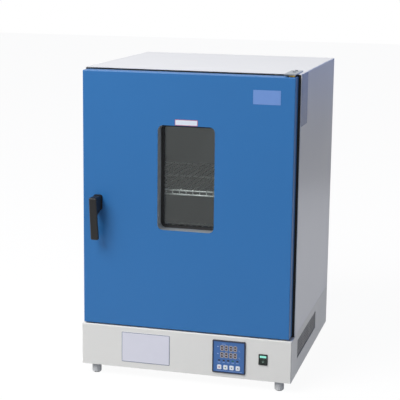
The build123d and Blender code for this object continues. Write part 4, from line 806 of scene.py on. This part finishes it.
class OVEN_OT_shelves(bpy.types.Operator):
    """Makes the two shelves out of round wire, in place of the CAD ones"""

    bl_idname = "oven.shelves"
    bl_label = "Wire shelves"

    def execute(self, context):
        wire = frame["nodes"]["shelf_upper"].material_slots[0].material
        wire_shelf("upper_shelf", "shelf_upper", "upper_shelf", wire)
        wire_shelf("lower_shelf", "shelf_lower", "lower_shelf", wire)
        return {"FINISHED"}


class OVEN_OT_finishes(bpy.types.Operator):
    """Gives every carried-over CAD node its finish"""

    bl_idname = "oven.finishes"
    bl_label = "Finishes"

    def execute(self, context):
        made = finish_by_slot()
        for entry in frame["record"]["subparts"]:
            shown = frame["nodes"][entry["node"]]
            for holder in shown.material_slots:
                holder.material = made[entry["material_slot"]]
        return {"FINISHED"}


class OVEN_OT_stage(bpy.types.Operator):
    """Builds the floor, the lamps, the world and the camera"""

    bl_idname = "oven.stage"
    bl_label = "Studio"

    def execute(self, context):
        build_floor()
        build_lamps()
        build_cards()
        build_world()
        build_camera()
        context.scene.view_settings.view_transform = "Standard"
        return {"FINISHED"}


def build_floor():
    """A wide pale floor: white where the camera sees it, with a soft trace of the oven's shadow."""
    shape = bmesh.new()
    bmesh.ops.create_grid(shape, x_segments=2, y_segments=2, size=FLOOR_HALF)
    material, tree = bare_material("studio_floor_paint")
    spot = add_node(tree, "ShaderNodeTexCoord").outputs["Object"]
    cloud = noise(tree, spot, 900, 2.0)
    pale = two_tones(tree, cloud, "#F4F4F4", "#F2F2F2")
    matt = add_node(tree, "ShaderNodeBsdfDiffuse", {"Color": pale})
    shade = two_tones(tree, cloud, "#A9A9A8", "#A6A6A5")
    dim = add_node(tree, "ShaderNodeBsdfDiffuse", {"Color": shade})
    white = add_node(tree, "ShaderNodeEmission", {"Color": linear("#FFFFFF"), "Strength": FLOOR_GLOW})
    shown = add_node(tree, "ShaderNodeMixShader", {"Fac": FLOOR_WHITE})
    tree.links.new(matt.outputs["BSDF"], shown.inputs[1])
    tree.links.new(white.outputs["Emission"], shown.inputs[2])
    final = add_node(tree, "ShaderNodeMixShader", {"Fac": seen_directly(tree)})
    tree.links.new(dim.outputs["BSDF"], final.inputs[1])
    tree.links.new(shown.outputs["Shader"], final.inputs[2])
    add_node(tree, "ShaderNodeOutputMaterial", {"Surface": final.outputs["Shader"]})
    floor = link("studio_floor", to_mesh(shape, "studio_floor"), [material])


def seen_directly(tree):
    """One where the camera, a reflection or glass sees the surface, and zero for diffuse light."""
    rays = add_node(tree, "ShaderNodeLightPath")
    both = add_node(
        tree, "ShaderNodeMath", {0: rays.outputs["Is Camera Ray"], 1: rays.outputs["Is Glossy Ray"]},
        operation="MAXIMUM",
    )
    three = add_node(
        tree, "ShaderNodeMath", {0: both.outputs["Value"], 1: rays.outputs["Is Transmission Ray"]},
        operation="MAXIMUM",
    )
    return three.outputs["Value"]


def build_lamps():
    """One broad soft key from the upper left of the camera."""
    data = bpy.data.lights.new("key_lamp", "AREA")
    data.energy = KEY_POWER
    data.size = KEY_SIZE
    data.color = linear("#FFFDFA")[:3]
    lamp = bpy.data.objects.new("key_lamp", data)
    toward = Vector(KEY_TOWARD).normalized()
    lamp.location = Vector((0.0, DOOR_LOW.y, SHELL_HIGH.z / 2)) - toward * KEY_AWAY
    lamp.rotation_euler = toward.to_track_quat("-Z", "Y").to_euler()
    bpy.context.scene.collection.objects.link(lamp)


def build_cards():
    """Cards that only reflections see: a grey flag before the door, a blue one beyond the right side."""
    for name, size, spot, turn, tones, reach, strength in CARDS:
        shape = bmesh.new()
        bmesh.ops.create_grid(shape, x_segments=1, y_segments=1, size=0.5)
        bmesh.ops.scale(shape, vec=(size[0], size[1], 1.0), verts=shape.verts)
        place(shape, spot, math.radians(turn), math.pi / 2)
        material, tree = bare_material(name + "_card")
        where = add_node(tree, "ShaderNodeTexCoord").outputs["Object"]
        up = add_node(tree, "ShaderNodeSeparateXYZ", {"Vector": where}).outputs["Z"]
        share = add_node(
            tree, "ShaderNodeMapRange", {"Value": up, "From Min": reach[0], "From Max": reach[1]}
        )
        tone = two_tones(tree, share.outputs["Result"], *tones)
        light = add_node(tree, "ShaderNodeEmission", {"Color": tone, "Strength": strength})
        add_node(tree, "ShaderNodeOutputMaterial", {"Surface": light.outputs["Emission"]})
        card = link(name, to_mesh(shape, name), [material])
        card.visible_camera = False
        card.visible_diffuse = False
        card.visible_shadow = False


def build_world():
    """A plain sky: white where it is seen, and as a light brighter at the left than at the right."""
    world = bpy.data.worlds.new("studio")
    world.use_nodes = True
    tree = world.node_tree
    tree.nodes.clear()
    seen = add_node(tree, "ShaderNodeBackground", {"Color": linear("#FFFFFF"), "Strength": 1.0})
    way = add_node(tree, "ShaderNodeTexCoord").outputs["Generated"]
    across = add_node(tree, "ShaderNodeSeparateXYZ", {"Vector": way}).outputs["X"]
    share = add_node(tree, "ShaderNodeMapRange", {"Value": across, "From Min": -0.9, "From Max": 0.9})
    tone = two_tones(tree, share.outputs["Result"], *SKY_TONES)
    light = add_node(tree, "ShaderNodeBackground", {"Color": tone, "Strength": SKY_STRENGTH})
    mix = add_node(tree, "ShaderNodeMixShader", {"Fac": seen_directly(tree)})
    tree.links.new(light.outputs["Background"], mix.inputs[1])
    tree.links.new(seen.outputs["Background"], mix.inputs[2])
    add_node(tree, "ShaderNodeOutputWorld", {"Surface": mix.outputs["Shader"]})
    bpy.context.scene.world = world


def build_camera():
    """The camera that sees the oven as the photograph does."""
    data = bpy.data.cameras.new("camera")
    data.sensor_width = SENSOR_MM
    data.lens = CAMERA_FOCUS_PX / FRAME_PX * SENSOR_MM
    data.shift_y = CAMERA_DROP_PX / FRAME_PX
    data.clip_start = 0.1
    data.clip_end = 60.0
    camera = bpy.data.objects.new("camera", data)
    base_middle = Vector((0.0, DOOR_LOW.y, BASE_LOW.z))
    turn = Matrix.Rotation(CAMERA_YAW, 4, "Z") @ Matrix.Rotation(math.pi / 2 + CAMERA_PITCH, 4, "X")
    turn = turn @ Matrix.Rotation(-CAMERA_ROLL, 4, "Z")
    camera.matrix_world = Matrix.Translation(base_middle + CAMERA_PLACE) @ turn
    bpy.context.scene.collection.objects.link(camera)
    bpy.context.scene.camera = camera


class OVEN_PT_panel(bpy.types.Panel):
    """Lists the oven's steps in the sidebar"""

    bl_idname = "OVEN_PT_panel"
    bl_label = "Drying oven"
    bl_space_type = "VIEW_3D"
    bl_region_type = "UI"
    bl_category = "Oven"

    def draw(self, context):
        for step in STEPS:
            self.layout.operator(step.bl_idname)


STEPS = (
    OVEN_OT_finishes, OVEN_OT_plates, OVEN_OT_display, OVEN_OT_keys, OVEN_OT_switch, OVEN_OT_shelves,
    OVEN_OT_stage,
)
CLASSES = (OvenColours, OvenSizes) + STEPS + (OVEN_PT_panel,)


def register():
    """Registers the add-on's classes and its scene settings."""
    for each in CLASSES:
        bpy.utils.register_class(each)
    bpy.types.Scene.oven_colours = PointerProperty(type=OvenColours)
    bpy.types.Scene.oven_sizes = PointerProperty(type=OvenSizes)


def unregister():
    """Removes them again."""
    del bpy.types.Scene.oven_colours
    del bpy.types.Scene.oven_sizes
    for each in reversed(CLASSES):
        bpy.utils.unregister_class(each)


def main():
    """Runs every step in order."""
    register()
    for step in STEPS:
        group, action = step.bl_idname.split(".")
        getattr(getattr(bpy.ops, group), action)()


if __name__ == "__main__":
    main()
